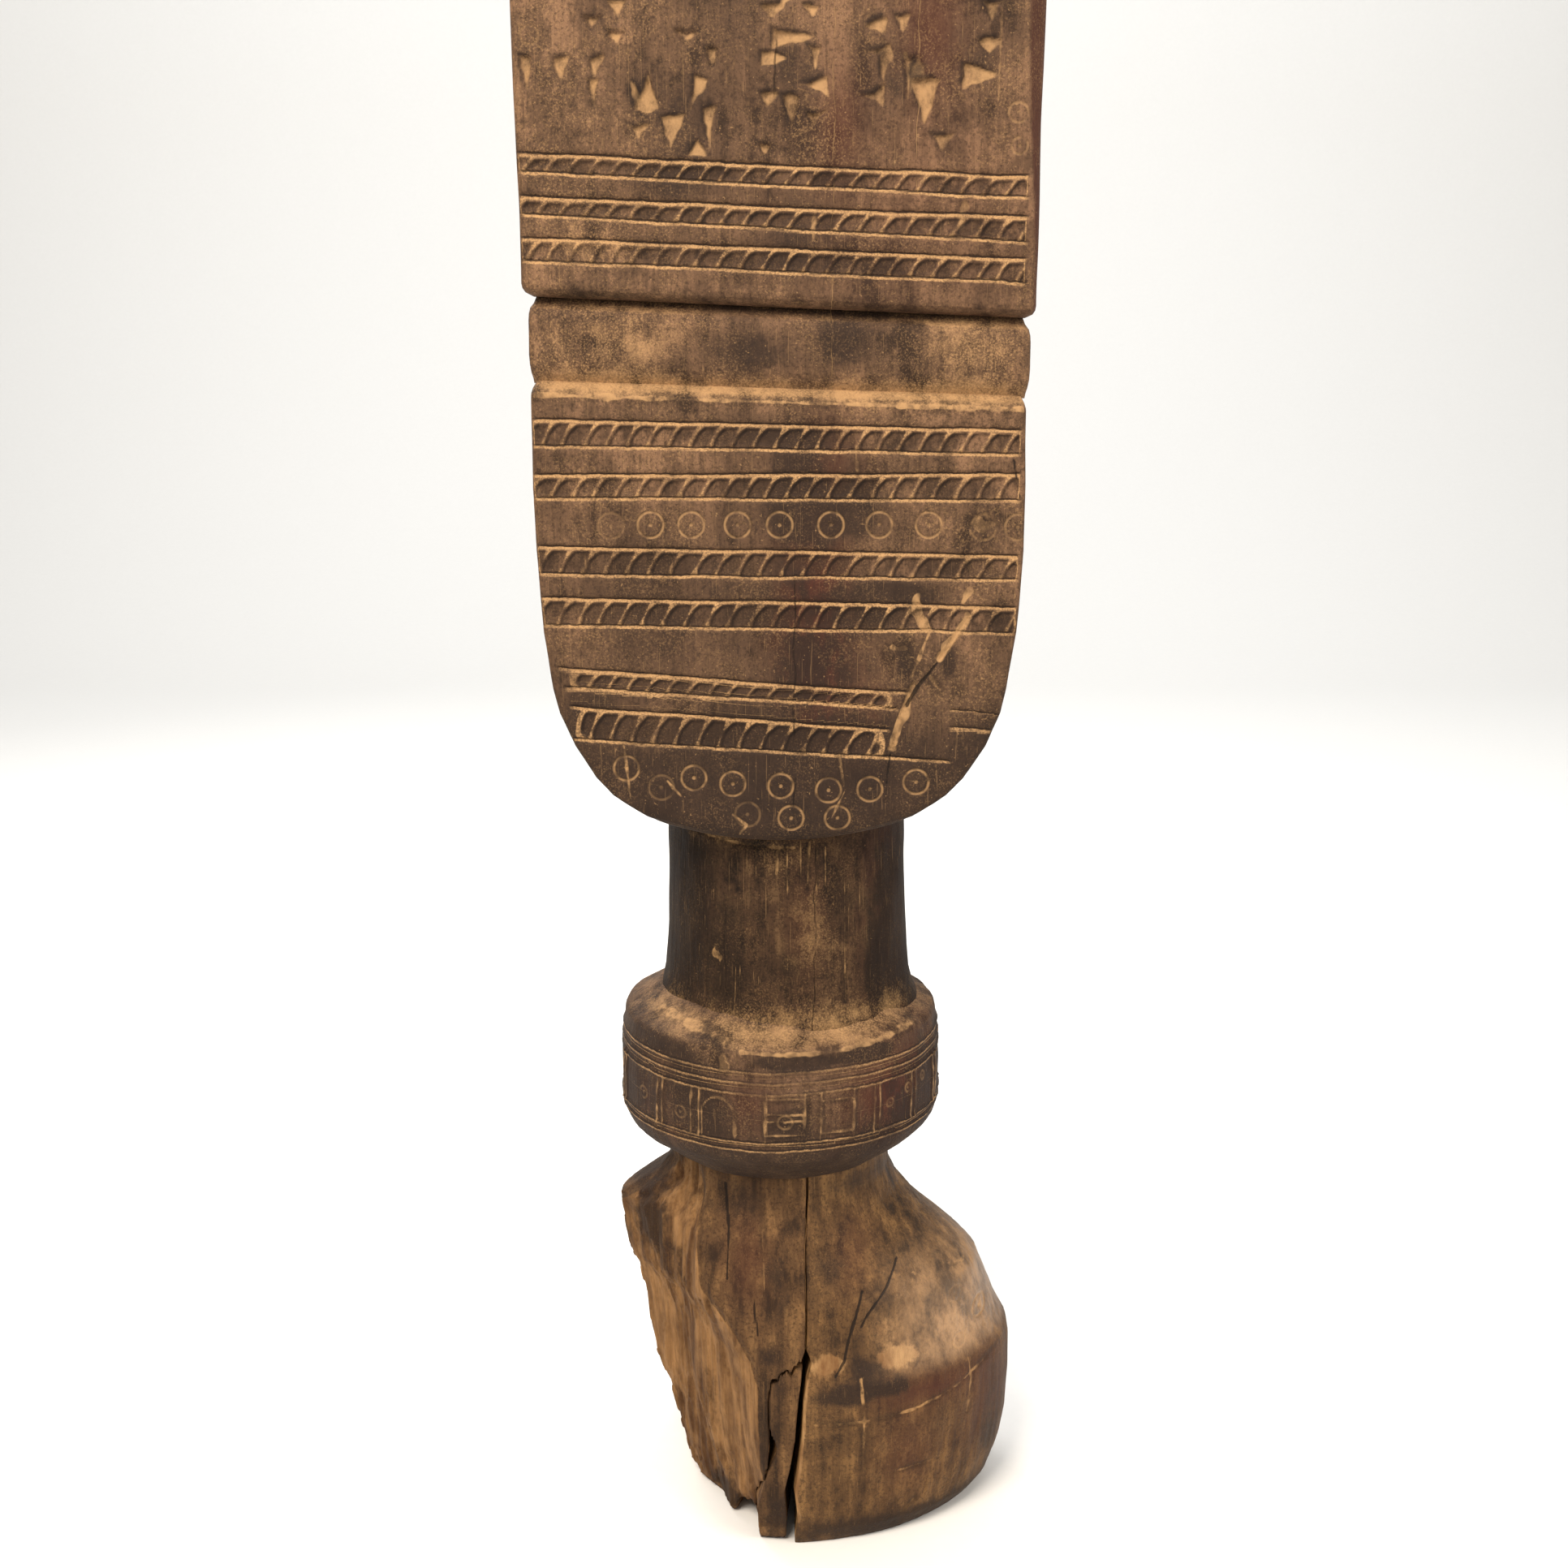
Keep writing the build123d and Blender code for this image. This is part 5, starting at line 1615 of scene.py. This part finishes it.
# Drying cracks follow the grain through every zone of the timber.
PANEL_CRACKS = (
    Hairline(9.4, 0.004, 262.0, 352.0, 0.12, True), Hairline(2.6, 0.002, 176.0, 226.0, 0.2),
    Hairline(-0.6, 0.0, 322.0, 360.0, 0.2), Hairline(27.3, 0.0, 304.0, 340.0, 0.14, True),
)
NECK_CRACKS = (Hairline(7.6, 0.0, 100.0, 170.0), Hairline(-12.0, 0.0, 130.0, 152.0, 0.12))
FINISHES = {
    Finish.PATINATED: OldTimber(
        "oiled_dark_hardwood", "#7c5d45", "#553f2e", "#2b1e15", powder=0.36, hairlines=PANEL_CRACKS,
    ),
    Finish.SMOKED: OldTimber(
        "smoke_darkened_hardwood", "#5f4831", "#3c2b1e", "#19120d",
        powder=0.22, dust="#9a7850", soot="#1b130e",
        ledge=0.12, specular=0.1, scratched=0.24, hairlines=NECK_CRACKS,
    ),
    Finish.HANDLED: OldTimber(
        "hand_polished_hardwood", "#805e38", "#563d24", "#2a1d12",
        powder=0.14, grain=0.34, shine=0.30, rough=0.62,
        ledge=0.0, dust="#ab8355",
    ),
    Finish.WEATHERED: OldTimber(
        "split_weathered_hardwood", "#7a5a38", "#533b25", "#2a1d13", powder=0.12, grain=0.44, rough=0.8,
        ledge=0.0, dust="#a37b4e", fresh_light="#967048", fresh_dark="#4c321d",
    ),
}


# ---------------------------------------------------------------- studio

@dataclass
class Studio:
    """Plain pale floor and backdrop, a soft key above the front, and the camera."""

    lens: float = 44.72
    camera_y: float = -438.0
    camera_z: float = 276.0
    camera_x: float = 0.9
    pitch: float = 13.0
    floor_colour: str = "#e6e4e0"

    def build(self) -> None:
        """Make floor, lights, world and camera."""
        self._floor()
        self._light("key", (-300.0, -560.0, 820.0), 420.0, 11.8, "#fff4e6")
        self._light("fill", (560.0, -420.0, 520.0), 420.0, 3.6, "#fff8f0")
        self._light("rim", (-360.0, 520.0, 640.0), 420.0, 3.0, "#ffffff")
        self._light("backdrop", (0.0, 500.0, 1300.0), 1400.0, 17.0, "#f1f7ff", (0.0, 1600.0, 300.0))
        world = bpy.data.worlds.new("studio_world")
        world.use_nodes = True
        world.node_tree.nodes["Background"].inputs[0].default_value = linear("#f0efec")
        world.node_tree.nodes["Background"].inputs[1].default_value = 0.45
        bpy.context.scene.world = world
        bpy.context.scene.view_settings.view_transform = "Standard"
        bpy.ops.object.camera_add(
            location=((AXIS_X + self.camera_x) * MM, self.camera_y * MM, self.camera_z * MM),
            rotation=(math.radians(90 - self.pitch), 0.0, 0.0),
        )
        camera = bpy.context.active_object
        camera.data.lens = self.lens
        camera.data.sensor_width = 36.0
        camera.data.clip_start = 0.01
        bpy.context.scene.camera = camera

    def _floor(self) -> None:
        """A floor that curves up into a backdrop."""
        bpy.ops.object.select_all(action="DESELECT")
        bpy.ops.mesh.primitive_plane_add(size=1)
        floor = bpy.context.active_object
        floor.name = "studio_floor"
        half, back, rise, bend = 3.0, 1.6, 2.4, 0.5
        line = [(-2.4, 0.0), (back - bend, 0.0)]
        turns = np.linspace(0.1, 1.47, 12)
        line += [(back - bend + bend * math.sin(t), bend - bend * math.cos(t)) for t in turns]
        line += [(back, bend), (back, rise)]
        points = [(x, y, z) for y, z in line for x in (-half, half)]
        faces = [(2 * i, 2 * i + 1, 2 * i + 3, 2 * i + 2) for i in range(len(line) - 1)]
        floor.data.clear_geometry()
        floor.data.from_pydata(points, [], faces)
        bpy.ops.object.shade_smooth()
        paint = Paint("matt_paper_backdrop")
        add = paint.add
        # Paper fibre: flecks 3 mm across, so faint that they only take the flatness off.
        fleck = add(TIMES, add(NOISE, add(PLACE), lumps(3.0), 2.0, 0.55), 0.1)
        paper = add(BLEND, fleck, linear(self.floor_colour), linear("#bdbab5"))
        add(OUTPUT, add(SURFACE, paper, 0.95))
        floor.data.materials.append(paint.material)

    def _light(
        self, name: str, place: tuple[float, float, float], size: float, power: float, tint: str,
        target: tuple[float, float, float] = (0.0, 0.0, REST_TOP * 0.5),
    ) -> None:
        """One square soft light.

        Args:
            name: its name.
            place: millimetres.
            size: side of the square, millimetres.
            power: watts.
            tint: sRGB hex colour.
            target: what it looks at, millimetres; the object's middle unless given.
        """
        data = bpy.data.lights.new(name, "AREA")
        data.size = size * MM
        data.energy = power
        data.color = linear(tint)[:3]
        lamp = bpy.data.objects.new(name, data)
        bpy.context.scene.collection.objects.link(lamp)
        lamp.location = [value * MM for value in place]
        aim = np.array(target) - np.array(place)
        lamp.rotation_euler = (
            math.atan2(math.hypot(aim[0], aim[1]), -aim[2]),
            0.0,
            math.atan2(aim[0], -aim[1]) + math.pi,
        )


def main() -> None:
    """Build the timber from the top down, then light it."""
    materials = {finish: finish.material() for finish in Finish}
    pieces = [
        RestBlock().build(materials[Finish.PATINATED]),
        WaistBand().build(materials[Finish.PATINATED]),
        TonguePanel().build(materials[Finish.PATINATED]),
        Neck().build(materials[Finish.SMOKED]),
        CollarRing().build(materials[Finish.PATINATED]),
        foot_bulb().build(materials[Finish.HANDLED]),
        foot_broken_side().build(materials[Finish.WEATHERED]),
        foot_splinter().build(materials[Finish.WEATHERED]),
    ]
    for piece in pieces:
        LOG.info("%s finished with %s", piece.name, piece.data.materials[0].name)
    Studio().build()


if __name__ == "__main__":
    logging.basicConfig(level=logging.INFO, format="%(name)s: %(message)s")
    main()
